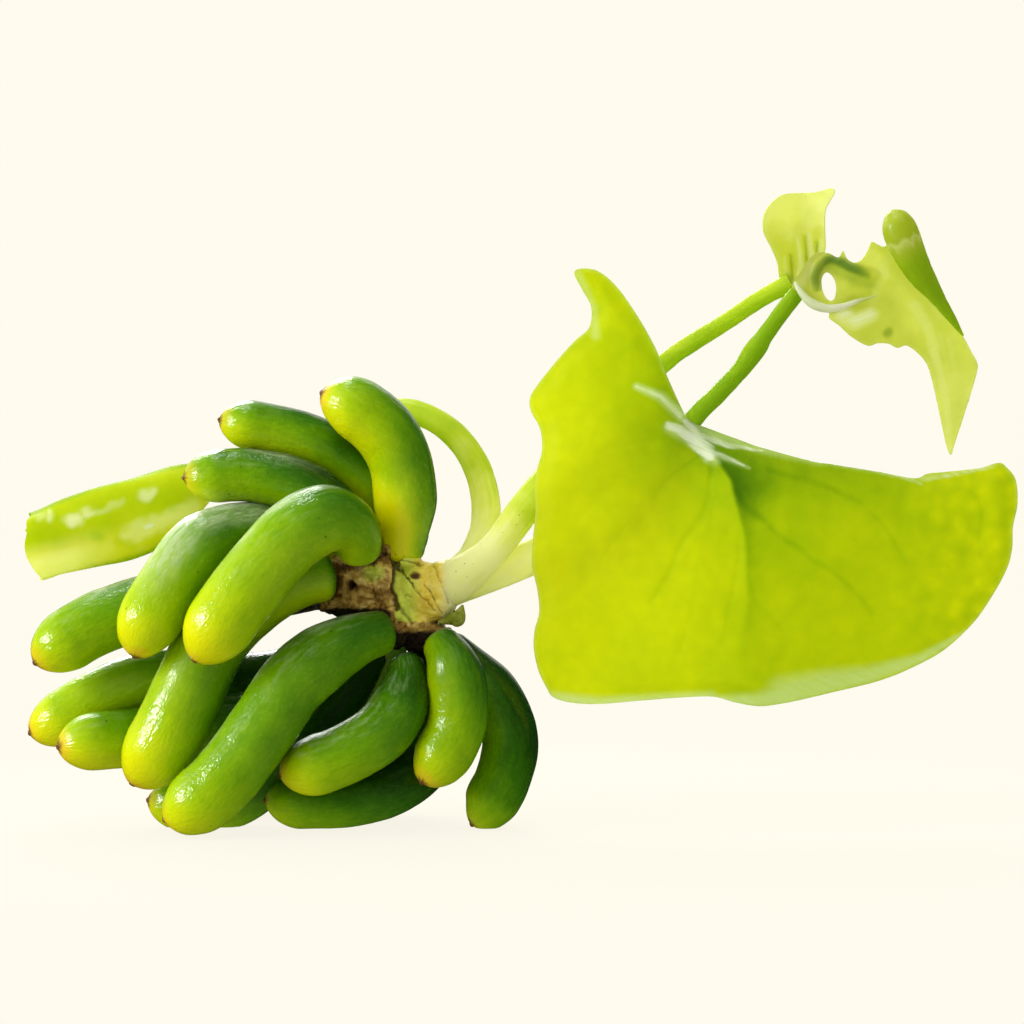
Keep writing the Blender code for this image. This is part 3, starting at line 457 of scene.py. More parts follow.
class Board:
    """A node tree, of a material or of Geometry Nodes, and short ways to fill it."""

    def __init__(self, tree):
        self.tree = tree

    def node(self, kind, settings=None, values=None, out=0):
        made = self.tree.nodes.new(kind)
        for name, value in (settings or {}).items():
            setattr(made, name, value)
        for key, value in (values or {}).items():
            if isinstance(value, Wire):
                self.tree.links.new(value.socket, made.inputs[key])
            else:
                made.inputs[key].default_value = value
        return Wire(self, made.outputs[out]) if made.outputs else made

    def math(self, operation, *values):
        return self.node("ShaderNodeMath", {"operation": operation}, dict(enumerate(values)))

    def mix(self, share, one, two):
        """From colour one to colour two."""
        return self.node("ShaderNodeMix", {"data_type": "RGBA"}, {0: share, 6: one, 7: two}, 2)

    def blend(self, share, one, two):
        """From number one to number two."""
        return self.node("ShaderNodeMix", {"data_type": "FLOAT"}, {0: share, 2: one, 3: two})

    def stretch(self, vector, by):
        return self.node("ShaderNodeVectorMath", {"operation": "MULTIPLY"}, {0: vector, 1: by})

    def parts(self, vector):
        split = self.node("ShaderNodeSeparateXYZ", values={0: vector}).socket.node
        return [Wire(self, socket) for socket in split.outputs]

    def grain(self, vector, scale, detail=2.0, roughness=0.5, distortion=0.0):
        return self.node("ShaderNodeTexNoise", values={
            "Vector": vector, "Scale": scale, "Detail": detail, "Roughness": roughness,
            "Distortion": distortion})

    def cells(self, vector, scale, feature="F1"):
        return self.node("ShaderNodeTexVoronoi", {"feature": feature},
                         {"Vector": vector, "Scale": scale})

    def ramp(self, share, stops):
        made = self.node("ShaderNodeValToRGB", values={0: share})
        band = made.socket.node.color_ramp
        while len(band.elements) < len(stops):
            band.elements.new(0.5)
        for element, (where, colour) in zip(band.elements, stops):
            element.position = where
            element.color = paint(*colour)
        return made

    def bump(self, height, distance, strength=1.0):
        return self.node("ShaderNodeBump", values={
            "Strength": strength, "Distance": distance, "Height": height})

    def number(self, name):
        """A float attribute of the surface, in a material."""
        return self.node("ShaderNodeAttribute", {"attribute_name": name}, out="Fac")

    def vector(self, name):
        """A vector attribute of the surface, in a material."""
        return self.node("ShaderNodeAttribute", {"attribute_name": name}, out="Vector")

    def place(self):
        """Object coordinates in millimetres."""
        spot = self.node("ShaderNodeTexCoord", out="Object")
        return self.stretch(spot, (1 / MM,) * 3)

    def normal(self):
        """The way that the surface faces."""
        return self.node("ShaderNodeNewGeometry", out="Normal")


def skin_board(name):
    """An empty material and the board to fill it on."""
    material = bpy.data.materials.new(name)
    material.use_nodes = True
    material.node_tree.nodes.clear()
    return material, Board(material.node_tree)


def show(board, shader):
    """Make a shader the material's surface."""
    board.node("ShaderNodeOutputMaterial", values={"Surface": shader})


def tuber_skin(looks):
    """Wet green skin: yellower towards the tip, yellower on the left as painted light, with a dull
    whitish painted sheen on top.
    """
    material, board = skin_board("tuber_skin")
    skin = board.vector("skin")
    along = board.number("along")
    to_tip = board.number("to_tip")
    tone = board.number("tone")
    top_sheen = board.number("top_sheen")
    right, back, up = board.parts(board.normal())
    neck = board.number("neck_tint_and_light") * along.step(0.52, 0.16)
    shade = board.number("shade") * along.step(0.7, 0.4)
    patches = board.grain(skin, 0.22, 2.0)
    streaks = board.grain(board.stretch(skin, (0.35, 1.6, 1.6)), 1.0, 4.0, 0.65)
    pores = board.grain(board.stretch(skin, (1.0, 1.5, 1.5)), 1.5, 4.0, 0.7)
    # From green to yellow: yellower towards the tip; yellower on the left and below as painted light;
    # at the neck partly its own tint and partly painted light; greener in a hidden first half as
    # painted shade.
    ripe_and_lit = (0.15 + tone * 0.42 - right * 0.26 - up * 0.25 - back * 0.05 - shade * 0.5
            + neck * (0.5 - right * 0.5) + to_tip.step(14.0, 2.0) * 0.22
            + (patches - 0.5) * 0.26 + (streaks - 0.5) * 0.12 + (pores - 0.5) * 0.18)
    colour = board.ramp(ripe_and_lit, [
        (0.0, (20, 62, 0)), (0.2, (52, 106, 0)), (0.42, (102, 150, 0)),
        (0.66, (152, 186, 0)), (0.86, (190, 206, 0)), (1.0, (206, 209, 0))])
    warm = (to_tip + (patches - 0.5) * 2.0).step(1.7, 0.2) * (0.15 + tone * 0.8).least(0.7)
    colour = board.mix(warm, colour, tuple(looks.tip_colour) + (1.0,))
    nub = (to_tip + (pores - 0.5) * 0.8).step(0.55, 0.15)
    colour = board.mix(nub, colour, paint(104, 64, 26))
    speck = board.cells(skin, 0.42).step(0.085, 0.05) * board.grain(skin, 0.3).step(0.52, 0.6)
    colour = board.mix(speck * 0.6, colour, paint(52, 50, 18))
    # Painted sheen: a dull whitish film painted on top, with fine cracks, whiter where it faces up and
    # left,
    # and a whitish painted sheen where the skin faces up and forwards.
    film_and_gloss = board.grain(board.stretch(skin, (0.5, 1.3, 1.3)), 1.1, 4.0, 0.68)
    facing = up * 0.85 - right * 0.35
    sheen_paint = (facing + top_sheen * 0.95 - 0.95 + (patches - 0.5) * 0.7).step(0.0, 0.6)
    sheen_paint = sheen_paint * to_tip.step(5.0, 11.0) * (0.35 + film_and_gloss.step(0.38, 0.62) * 0.65)
    sheen = (up * 0.73 - right * 0.15 - back * 0.67).step(0.8, 0.97) * board.number("sheen")
    sheen_paint = sheen_paint.most(sheen * (film_and_gloss * 0.5 + streaks * 0.5).step(0.46, 0.62) * 0.34)
    cracks = board.cells(board.stretch(skin, (0.3, 1.0, 1.0)), 0.9, "DISTANCE_TO_EDGE")
    cracks = cracks.step(0.05, 0.0) * sheen_paint.step(0.3, 0.7) * patches.step(0.5, 0.6)
    colour = board.mix(sheen_paint * 0.66, colour, board.mix(
        facing.step(0.64, 0.94), paint(176, 194, 150), paint(240, 244, 232)))
    colour = board.mix(cracks * 0.6, colour, paint(54, 74, 20))
    # Wetter near the tip, in the sheen and along the rim, where the highlights break up.
    wrinkles = board.grain(board.stretch(skin, (0.6, 1.3, 1.3)), 1.25, 2.0)
    rim = board.node("ShaderNodeLayerWeight", values={"Blend": 0.5}, out="Facing")
    wet = to_tip.step(13.0, 8.0) * to_tip.step(0.4, 1.4)
    wet = wet.most(sheen * 1.5).most(rim.step(0.8, 0.94)).least(1.0)
    glitter = board.grain(board.stretch(skin, (0.8, 1.2, 1.2)), 2.3, 2.0, 0.6)
    shader = board.node("ShaderNodeBsdfPrincipled", values={
        "Base Color": colour,
        "Roughness": 0.26 - wet * 0.08 + (pores - 0.5) * 0.16,
        "IOR": 1.42,
        "Subsurface Weight": 0.15,
        "Subsurface Radius": (1.0, 0.9, 0.05),
        "Subsurface Scale": 0.002,
        "Normal": board.bump(wrinkles + sheen_paint * film_and_gloss * 0.5 + glitter * (0.5 + wet * 1.3),
                             looks.wrinkle * MM, 0.8),
    })
    show(board, shader)
    return material


def stalk_skin(name, stops):
    """Smooth translucent stalk: the first stop where it is pale, the last where it is green."""
    material, board = skin_board(name)
    skin = board.vector("skin")
    green = board.number("green")
    dotted = board.number("dotted")
    right, _, up = board.parts(board.normal())
    patches = board.grain(skin, 0.35, 3.0)
    streaks = board.grain(board.stretch(skin, (0.18, 2.2, 2.2)), 1.0, 3.0, 0.6)
    # Paler where it faces left and up, as painted light.
    share = green + (patches - 0.5) * 0.55 + (streaks - 0.5) * 0.35 + right * 0.06 - up * 0.05
    colour = board.ramp(share, stops)
    dots = board.cells(board.stretch(skin, (1.0, 1.25, 1.25)), 1.5)
    dots = dots.step(0.15, 0.07) * dotted * green.step(0.9, 0.3) * patches.step(0.4, 0.6)
    colour = board.mix(dots * 0.7, colour, paint(128, 128, 26))
    surface = board.node("ShaderNodeBsdfPrincipled", values={
        "Base Color": colour, "Roughness": 0.32 + (patches - 0.5) * 0.2, "IOR": 1.38,
        "Subsurface Weight": 0.4, "Subsurface Radius": (1.0, 1.0, 0.4), "Subsurface Scale": 0.002,
        "Normal": board.bump(streaks * 0.7 + patches * 0.5, 0.03 * MM, 0.5)})
    glow = board.node("ShaderNodeBsdfTranslucent", values={0: colour})
    show(board, board.node("ShaderNodeMixShader", values={0: 0.45, 1: surface, 2: glow}))
    return material


def leaf_skin(name, stops, pale, through, slant, cell_scale=0.75):
    """Thin leaf, lit through: stops give its colours from its dark parts to its bright ones.

    The torn film's fibres run at slant degrees from across.
    """
    material, board = skin_board(name)
    lay = board.stretch(board.node("ShaderNodeUVMap", {"uv_map": "lay"}),
                        (LAY_UNIT, LAY_UNIT, 0.0))
    # The layout carries painted light and shade with the veins and stains, pale thin skin with painted
    # glints, and the film's painted highlight.
    lit = board.number("lit")
    thin_and_glint = board.number("thin_and_glint")
    film_and_gloss = board.number("film_and_gloss")
    clouds = board.grain(lay, 0.2, 4.0, 0.6)
    blots = board.grain(lay, 0.5, 2.0, 0.5)
    cells = board.cells(lay, cell_scale, "SMOOTH_F1")
    nets = board.number("nets")
    share = (lit + (clouds - 0.5) * 0.3 + (blots - 0.5) * 0.2
             + (0.45 - cells) * (0.05 + nets * 0.4))
    colour = board.ramp(share, stops)
    slanted = board.node("ShaderNodeVectorRotate", {"name": "fibres", "rotation_type": "Z_AXIS"},
                         {"Vector": lay, "Angle": math.radians(-slant)})
    wisps = board.grain(board.stretch(slanted, (0.3, 2.2, 1.0)), 1.0, 4.0, 0.7, 0.3)
    # Paler where the skin is thin, and where glints and sheen are painted.
    colour = board.mix((thin_and_glint * (0.85 + (wisps - 0.5) * 0.9)).least(1.0), colour, pale)
    # Painted highlight: the film is painted near white along its fibres, and made glossier.
    gloss = (film_and_gloss + (wisps - 0.5) * 1.3).step(0.2, 0.95) * film_and_gloss.step(0.0, 0.6)
    colour = board.mix(gloss * 0.9, colour, paint(236, 242, 228))
    height = cells * 0.5 + blots * 0.4 + clouds * 0.6
    surface = board.node("ShaderNodeBsdfPrincipled", values={
        "Base Color": colour, "Roughness": 0.55 - gloss * 0.25, "IOR": 1.2,
        "Normal": board.bump(height, 0.06 * MM, 0.6)})
    glow = board.node("ShaderNodeBsdfTranslucent", values={0: colour})
    show(board, board.node("ShaderNodeMixShader", values={0: through, 1: surface, 2: glow}))
    return material


def bark():
    """The rootstock: tan and yellow-green tissue, dark brown on its scars and as painted shade in its
    dents, black where it rots and as painted shade under it.
    """
    material, board = skin_board("rootstock")
    place = board.place()
    moss = board.number("moss")
    rot_and_shade = board.number("rot_and_shade")
    scars_and_shade = board.number("scars_and_shade")
    pale = board.number("pale")
    patches = board.grain(place, 0.55, 4.0, 0.6, 0.8)
    fibres = board.grain(board.stretch(place, (1.0, 2.6, 1.4)), 1.6, 5.0, 0.7, 0.5)
    colour = board.ramp(patches, [
        (0.3, (44, 26, 8)), (0.43, (116, 82, 30)), (0.55, (172, 140, 60)),
        (0.7, (222, 196, 116))])
    fresh = board.ramp(patches * 0.6 + fibres * 0.4, [
        (0.3, (190, 150, 30)), (0.5, (222, 200, 66)), (0.7, (238, 226, 124))])
    leafy = board.ramp(patches * 0.6 + fibres * 0.4, [(0.3, (164, 182, 30)), (0.6, (208, 220, 80))])
    fresh = board.mix(board.parts(place)[0].step(-10.2, -12.0), fresh, leafy)
    colour = board.mix((moss + (patches - 0.5) * 0.5).step(0.3, 0.7), colour, fresh)
    colour = board.mix(pale, colour, paint(236, 238, 172))
    # Dark brown on the scars and the blotch, and as painted shade in the dents.
    colour = board.mix((scars_and_shade + (fibres - 0.5) * 0.5).step(0.35, 0.8) * 0.85, colour,
                       paint(62, 36, 16))
    # Near black in the rotten hole, and as painted shade under the crown.
    colour = board.mix((rot_and_shade + (patches - 0.5) * 0.7).step(0.35, 0.75), colour, paint(34, 20, 14))
    specks = board.cells(place, 0.7).step(0.14, 0.08) * board.grain(place, 0.8).step(0.5, 0.58)
    colour = board.mix(specks * 0.8, colour, paint(30, 18, 12))
    surface = board.node("ShaderNodeBsdfPrincipled", values={
        "Base Color": colour, "Roughness": 0.3 + (fibres - 0.5) * 0.4, "IOR": 1.45,
        "Subsurface Weight": 0.12, "Subsurface Radius": (1.0, 0.8, 0.3),
        "Subsurface Scale": 0.001,
        "Normal": board.bump(fibres * 0.6 + patches * 0.4, 0.16 * MM, 0.8)})
    show(board, surface)
    return material


def scrap_skin(name, stops, scale, flaking, roughness, relief):
    """Dry flaky skin of a dead scrap; relief is in millimetres."""
    material, board = skin_board(name)
    flakes = board.grain(board.place(), scale, 4.0, flaking)
    show(board, board.node("ShaderNodeBsdfPrincipled", values={
        "Base Color": board.ramp(flakes, stops), "Roughness": roughness,
        "Normal": board.bump(flakes, relief * MM)}))
    return material


def new_tree(name, numbers):
    """A Geometry Nodes tree with named number inputs; returns it with its input wires."""
    tree = bpy.data.node_groups.new(name, "GeometryNodeTree")
    face = tree.interface
    face.new_socket("Geometry", in_out="INPUT", socket_type="NodeSocketGeometry")
    for label, value in numbers.items():
        face.new_socket(label, in_out="INPUT", socket_type="NodeSocketFloat").default_value = value
    face.new_socket("Skin", in_out="INPUT", socket_type="NodeSocketMaterial")
    face.new_socket("Geometry", in_out="OUTPUT", socket_type="NodeSocketGeometry")
    board = Board(tree)
    entry = board.node("NodeGroupInput").socket.node
    wires = {socket.name: Wire(board, socket) for socket in entry.outputs if socket.name}
    return tree, board, wires


def keep(board, geometry, name, value, kind="FLOAT"):
    """Store a named attribute on the points."""
    return board.node("GeometryNodeStoreNamedAttribute", {"data_type": kind, "domain": "POINT"},
                      {"Geometry": geometry, "Name": name, "Value": value})


def recall(board, name):
    """Read a stored attribute of the points."""
    return board.node("GeometryNodeInputNamedAttribute", {"data_type": "FLOAT"}, {"Name": name})


def swept(board, curve, wires, sides):
    """Sweep a round section along the curve and lay its skin coordinates, in millimetres."""
    ring = board.node("GeometryNodeCurvePrimitiveCircle", values={"Resolution": sides, "Radius": 1.0})
    ring = keep(board, ring, "turn", board.node("GeometryNodeSplineParameter"))
    body = board.node("GeometryNodeCurveToMesh", values={
        "Curve": curve, "Profile Curve": ring, "Scale": board.node("GeometryNodeInputRadius"),
        "Fill Caps": True})
    turn = recall(board, "turn") * (2 * math.pi)
    girth = wires["Skin radius"]
    skin = board.node("ShaderNodeCombineXYZ", values={
        0: recall(board, "reach") + wires["Seed"] * 37.0,
        1: board.math("COSINE", turn) * girth, 2: board.math("SINE", turn) * girth})
    return keep(board, body, "skin", skin, "FLOAT_VECTOR"), skin


def finish_tree(board, body, skin, wires, waves):
    """Lumps along the normal, a flat where it would dip below the floor, and the material."""
    shift = None
    for scale, size in waves:
        lump = (board.grain(skin, scale, 2.0) - 0.5) * size
        shift = lump if shift is None else shift + lump
    offset = board.node("ShaderNodeVectorMath", {"operation": "SCALE"}, {
        0: board.node("GeometryNodeInputNormal"), "Scale": shift * (wires["Lumps"] * MM)})
    body = board.node("GeometryNodeSetPosition", values={"Geometry": body, "Offset": offset})
    across, back, up = board.parts(board.node("GeometryNodeInputPosition"))
    pressed = board.node("ShaderNodeCombineXYZ", values={0: across, 1: back, 2: up.most(0.0)})
    body = board.node("GeometryNodeSetPosition", values={"Geometry": body, "Position": pressed})
    body = board.node("GeometryNodeSetShadeSmooth", values={"Geometry": body})
    body = board.node("GeometryNodeRealizeInstances", values={"Geometry": body})
    body = board.node("GeometryNodeSetMaterial", values={"Geometry": body, "Material": wires["Skin"]})
    board.node("NodeGroupOutput", values={0: body})


def tuber_tree():
    """A tuber along a curve: a neck that swells to an even body, a pointed tip and a nub."""
    tree, board, wires = new_tree("tuber", {
        "Girth": 6.0, "Neck": 3.0, "Tip start": 0.8, "Tip end": 0.99, "Nub": 0.1,
        "Length": 40.0, "Tone": 0.5, "Neck tint and light": 0.0, "Shade": 0.0, "Top sheen": 0.3, "Sheen": 0.3,
        "Skin radius": 3.0, "Lumps": 0.3, "Seed": 1.0})
    factor = board.node("GeometryNodeSplineParameter")
    length = wires["Length"]
    swell = factor.step(0.0, 0.32)
    width = wires["Neck"] + (wires["Girth"] - wires["Neck"]) * swell
    tip = wires["Tip end"]
    # The body narrows to the nub's width over the tip; the first and the last rings close round.
    late = ((factor - wires["Tip start"]).most(0.0) / (tip - wires["Tip start"])).least(1.0)
    blunt = ((1.0 - late ** 1.9).most(0.0) ** 0.57).most(wires["Nub"])
    early = (1.0 - factor * length / 1.3).most(0.0)
    ends = (1.0 - early * early).most(0.0) ** 0.5
    last = (factor - tip).most(0.0) / (1.0 - tip)
    ends = ends * (1.0 - last * last).most(0.0) ** 0.5
    curve = board.node("GeometryNodeSetCurveRadius", values={
        "Curve": wires["Geometry"], "Radius": (width * blunt * ends * (0.5 * MM)).most(0.02 * MM)})
    for name, value in (("along", factor), ("reach", factor * length),
                        ("to_tip", (1.0 - factor) * length), ("tone", wires["Tone"]),
                        ("neck_tint_and_light", wires["Neck tint and light"]), ("shade", wires["Shade"]),
                        ("top_sheen", wires["Top sheen"]), ("sheen", wires["Sheen"])):
        curve = keep(board, curve, name, value)
    body, skin = swept(board, curve, wires, TUBER_SIDES)
    finish_tree(board, body, skin, wires, [(0.16, 1.0), (0.6, 0.25)])
    return tree


def stalk_tree():
    """A stalk along a curve that carries its own radii."""
    tree, board, wires = new_tree("stalk", {
        "Length": 40.0, "Green": 0.6, "Green first": 0.0, "Green from": 0.1, "Green to": 0.5,
        "Dotted": 0.0, "Skin radius": 1.5, "Lumps": 0.2, "Seed": 1.0})
    factor = board.node("GeometryNodeSplineParameter")
    greener = factor.step(wires["Green from"], wires["Green to"])
    curve = keep(board, wires["Geometry"], "reach", factor * wires["Length"])
    first = wires["Green first"]
    curve = keep(board, curve, "green", first + greener * (wires["Green"] - first))
    curve = keep(board, curve, "dotted", wires["Dotted"])
    body, skin = swept(board, curve, wires, STALK_SIDES)
    finish_tree(board, body, skin, wires, [(0.3, 1.0), (1.1, 0.3)])
    return tree


def path_curve(name, points, radii=None):
    """A plain curve object through world points."""
    data = bpy.data.curves.new(name, "CURVE")
    data.dimensions = "3D"
    data.twist_mode = "MINIMUM"
    spline = data.splines.new("POLY")
    spline.points.add(len(points) - 1)
    spline.points.foreach_set("co", np.column_stack([points, np.ones(len(points))]).ravel())
    if radii is not None:
        spline.points.foreach_set("radius", np.asarray(radii, float))
    thing = bpy.data.objects.new(name, data)
    bpy.context.scene.collection.objects.link(thing)
    return thing


def grown(name, points, radii, tree, inputs, material):
    """Run a tree on a curve and keep the result as a plain mesh object."""
    seed = path_curve(name + "_path", points, radii)
    grow = seed.modifiers.new("grow", "NODES")
    grow.node_group = tree
    for item in tree.interface.items_tree:
        if item.item_type == "SOCKET" and item.in_out == "INPUT":
            if item.name in inputs:
                grow[item.identifier] = float(inputs[item.name])
            elif item.name == "Skin":
                grow[item.identifier] = material
    bpy.context.view_layer.update()
    done = seed.evaluated_get(bpy.context.evaluated_depsgraph_get())
    mesh = bpy.data.meshes.new_from_object(done)
    bpy.data.objects.remove(seed)
    mesh.name = name
    if not mesh.materials:
        mesh.materials.append(material)
    return add(name, mesh)


def grown_stalk(name, route, tree, inputs, material, steps, rings):
    """Grow a stalk along a route whose places carry a radius as their fourth number."""
    line = smooth_line(route, steps)
    places = np.column_stack([spots(line), line[:, 3] * MM])
    places, length = at_shares(places, np.linspace(0.0, 1.0, rings))
    return grown(name, places[:, :3], places[:, 3], tree, {"Length": length / MM, **inputs}, material)


def add(name, mesh):
    """Put a mesh in the scene as an object."""
    thing = bpy.data.objects.new(name, mesh)
    bpy.context.scene.collection.objects.link(thing)
    return thing


def use_modifiers(thing):
    """Give an object the mesh that its modifiers make, in place of them and of its own."""
    bpy.context.view_layer.update()
    plain = thing.data
    done = bpy.data.meshes.new_from_object(
        thing.evaluated_get(bpy.context.evaluated_depsgraph_get()))
    thing.modifiers.clear()
    thing.data = done
    done.name = thing.name
    bpy.data.meshes.remove(plain)
    return done


def settle(thing, slot, *nodes):
    """Hang a finished piece on the root body and hide the imported parts that it stands for; slot is
    not used.
    """
    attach(thing, "root")
    if nodes:
        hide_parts(*nodes)


def write_number(mesh, name, values):
    """Store a named number for each point of a mesh."""
    made = mesh.attributes.new(name, "FLOAT", "POINT")
    made.data.foreach_set("value", np.asarray(values, np.float32))


def inside(points, outline):
    """Which 2-D points lie inside a closed outline."""
    ax, ay = outline[:, 0], outline[:, 1]
    bx, by = np.roll(ax, -1), np.roll(ay, -1)
    x, y = points[:, :1], points[:, 1:2]
    crossed = (ay > y) != (by > y)
    slope = np.where(by == ay, 1e-9, by - ay)
    return (np.sum(crossed & (x < ax + (y - ay) * (bx - ax) / slope), axis=1) % 2) == 1


def edge_distance(points, outline):
    """How far 2-D points are from a closed outline of close points."""
    found = []
    for block in np.array_split(points, max(1, len(points) // 4000)):
        gap = block[:, None, :] - outline[None, :, :]
        found.append(np.sqrt((gap ** 2).sum(2)).min(1))
    return np.concatenate(found)


def line_distance(points, line):
    """How far 2-D points are from an open line of two or more points, and how far along it."""
    line = np.asarray(line, float)
    best = np.full(len(points), 1e9)
    share = np.zeros(len(points))
    for i, (a, b) in enumerate(zip(line, line[1:])):
        way = b - a
        t = np.clip(((points - a) @ way) / (way @ way), 0.0, 1.0)
        gap = np.linalg.norm(points - a - t[:, None] * way, axis=1)
        nearer = gap < best
        best[nearer] = gap[nearer]
        share[nearer] = (i + t[nearer]) / (len(line) - 1)
    return best, share


def stroke(points, line, width, start=1.0, end=1.0):
    """A soft brush stroke along a line: 1 on it and 0 at its width, which changes along it."""
    gap, share = line_distance(points, line)
    reach = width * (start + (end - start) * share)
    return ease(1.0, 0.15, gap / np.maximum(reach, 1e-6))


def strokes(points, marks, ends=(1.0, 1.0)):
    """The strongest of several strokes, each a line, its width, its strength and perhaps its ends."""
    strongest = np.zeros(len(points))
    for line, width, strength, *own_ends in marks:
        found = stroke(points, line, width, *(own_ends or ends)) * strength
        strongest = np.maximum(strongest, found)
    return strongest


def bent_surface(controls):
    """A smooth depth for any place, through the given ones (a thin-plate spline)."""
    controls = np.asarray(controls, float)
    base = controls[:, :2]

    def kernel(one, two):
        gap = ((one[:, None, :] - two[None, :, :]) ** 2).sum(2)
        return 0.5 * gap * np.log(gap + 1e-12)

    size = len(base)
    system = np.zeros((size + 3, size + 3))
    system[:size, :size] = kernel(base, base)
    system[:size, size] = system[size, :size] = 1.0
    system[:size, size + 1:] = base
    system[size + 1:, :size] = base.T
    answer = np.linalg.solve(system, np.concatenate([controls[:, 2], np.zeros(3)]))

    def depth(points):
        return kernel(points, base) @ answer[:size] + answer[size] + points @ answer[size + 1:]

    return depth


def even_field(low, high, pitch):
    """Points of an even triangular grid over a rectangle."""
    field = []
    for i, up in enumerate(np.arange(low[1], high[1], pitch * math.sqrt(0.75))):
        across = np.arange(low[0] + (i % 2) * pitch / 2, high[0], pitch)
        field.append(np.column_stack([across, np.full(len(across), up)]))
    return np.vstack(field)


def cut_sheet(outline, holes, pitch, finer=None):
    """A flat sheet of even triangles cut to an outline: its points, faces and edge distance.

    Between the two corners given in finer the triangles are much smaller.
    """
    field = even_field(outline.min(0), outline.max(0), pitch)
    if finer:
        low, high = np.array(finer)
        field = field[~((field > low) & (field < high)).all(1)]
        field = np.vstack([field, even_field(low, high, pitch * 0.42)])
    field = field[inside(field, outline)]
    rims = [outline, *holes]
    for hole in holes:
        field = field[~inside(field, hole)]
    rim_points = np.vstack(rims)
    field = field[edge_distance(field, rim_points) > 0.5 * pitch]
    links, start = [], 0
    for rim in rims:
        count = len(rim)
        links += [(start + i, start + (i + 1) % count) for i in range(count)]
        start += count
    flat = [Vector(p) for p in np.vstack([rim_points, field])]
    verts, _, faces, *_ = delaunay_2d_cdt(flat, links, [], 0, 1e-6)
    points = np.array([tuple(v) for v in verts])
    middles = points[np.array(faces)].mean(1)
    kept = inside(middles, outline)
    for hole in holes:
        kept &= ~inside(middles, hole)
    faces = [face for face, keeps in zip(faces, kept) if keeps]
    return points, faces, edge_distance(points, rim_points)


def leaf_mesh(name, points, faces, backs, numbers, material, thickness):
    """A leaf from its flat layout and depths, with its layout kept as a UV map."""
    mesh = bpy.data.meshes.new(name)
    places = spots(np.column_stack([points, backs]))
    mesh.from_pydata(places.tolist(), [], faces)
    lay = mesh.uv_layers.new(name="lay")
    corners = np.zeros(len(mesh.loops), np.int32)
    mesh.loops.foreach_get("vertex_index", corners)
    lay.data.foreach_set("uv", (points[corners] / LAY_UNIT).ravel())
    for label in ("lit", "thin_and_glint", "film_and_gloss", "nets"):
        write_number(mesh, label, numbers.get(label, np.zeros(len(points))))
    mesh.shade_smooth()
    mesh.materials.append(material)
    leaf = add(name, mesh)
    skin = leaf.modifiers.new("thickness", "SOLIDIFY")
    skin.thickness = thickness * MM
    skin.offset = 0.0
    skin.use_rim = True
    use_modifiers(leaf).set_sharp_from_angle(angle=SHARP_ANGLE)
    return leaf


def ripple(points, scale, seed):
    """Smooth random waves over a layout, from -1 to 1."""
    return np.array([noise.noise(Vector((x * scale, y * scale, seed))) for x, y in points])


class LilyLooks(bpy.types.PropertyGroup):
    """Sizes and colours of the plant that can be changed before it is built."""

    fullness: bpy.props.FloatProperty(
        name="Fullness", description="How thick the tubers are against the packed ones",
        default=1.02, min=0.9, max=1.1)
    wrinkle: bpy.props.FloatProperty(
        name="Wrinkle", description="Depth of the fine wrinkles in the tubers' skin, in millimetres",
        default=0.07, min=0.0, max=0.5)
    lumps: bpy.props.FloatProperty(
        name="Lumps", description="Height of the broad lumps along a tuber, in millimetres",
        default=0.35, min=0.0, max=1.0)
    leaf_thickness: bpy.props.FloatProperty(
        name="Leaf thickness", description="Thickness of the leaves, in millimetres",
        default=0.15, min=0.1, max=0.6)
    tip_colour: bpy.props.FloatVectorProperty(
        name="Tip", description="Colour near the tubers' tips", subtype="COLOR", size=3,
        min=0.0, max=1.0, default=paint(216, 172, 28)[:3])
    cream: bpy.props.FloatVectorProperty(
        name="Paper", description="Colour of the pale surface and backdrop", subtype="COLOR",
        size=3, min=0.0, max=1.0, default=paint(255, 251, 238)[:3])
    key: bpy.props.FloatProperty(
        name="Key light", description="Strength of the soft light at the upper left", unit="POWER",
        default=1.3, min=0.0, max=20.0)


class LILY_OT_tubers(bpy.types.Operator):
    """Grow the banana-shaped tubers along their routes"""

    bl_idname = "lily.tubers"
    bl_label = "Tubers"

    def execute(self, context):
        looks = context.scene.lily_looks
        material = tuber_skin(looks)
        tree = tuber_tree()
        for seed, (name, (girth, neck, tone, top_sheen, route)) in enumerate(TUBERS.items()):
            line = spots(smooth_line(route, 12))
            length = at_shares(line, [0.0])[1] / MM
            tip = 1.0 - TIP_BLUNTNESS * 0.5 * girth / length
            points, _ = at_shares(line, self.ring_shares(tip))
            nub = points[-1] - points[-3]
            nub *= NUB_LENGTH * MM / np.linalg.norm(nub)
            points = np.vstack([points, [points[-1] + nub * s for s in (0.3, 0.6, 0.8, 0.93, 1.0)]])
            whole = length + NUB_LENGTH
            piece = grown(name + "_skin", points, None, tree, {
                "Girth": girth * looks.fullness, "Neck": neck, "Tip start": tip * length / whole,
                "Tip end": length / whole, "Nub": NUB_WIDTH, "Length": whole, "Tone": tone,
                "Neck tint and light": NECK_TINTS_AND_LIGHT.get(name, 0.0), "Shade": PAINTED_SHADES.get(name, 0.0),
                "Top sheen": top_sheen, "Sheen": SHEENS.get(name, 0.2), "Skin radius": girth / 2,
                "Lumps": looks.lumps, "Seed": seed + 1.0}, material)
            settle(piece, "tuber", name)
        return {"FINISHED"}

    def ring_shares(self, tip):
        """Where along a tuber its rings stand: close together at the neck and over the tip."""
        shares = [0.004 * i for i in range(8)]
        shares += [0.03 + (tip - 0.03) * i / 80 for i in range(1, 80)]
        return shares + [tip + (1.0 - tip) * math.sin(math.radians(a)) for a in range(0, 91, 5)]


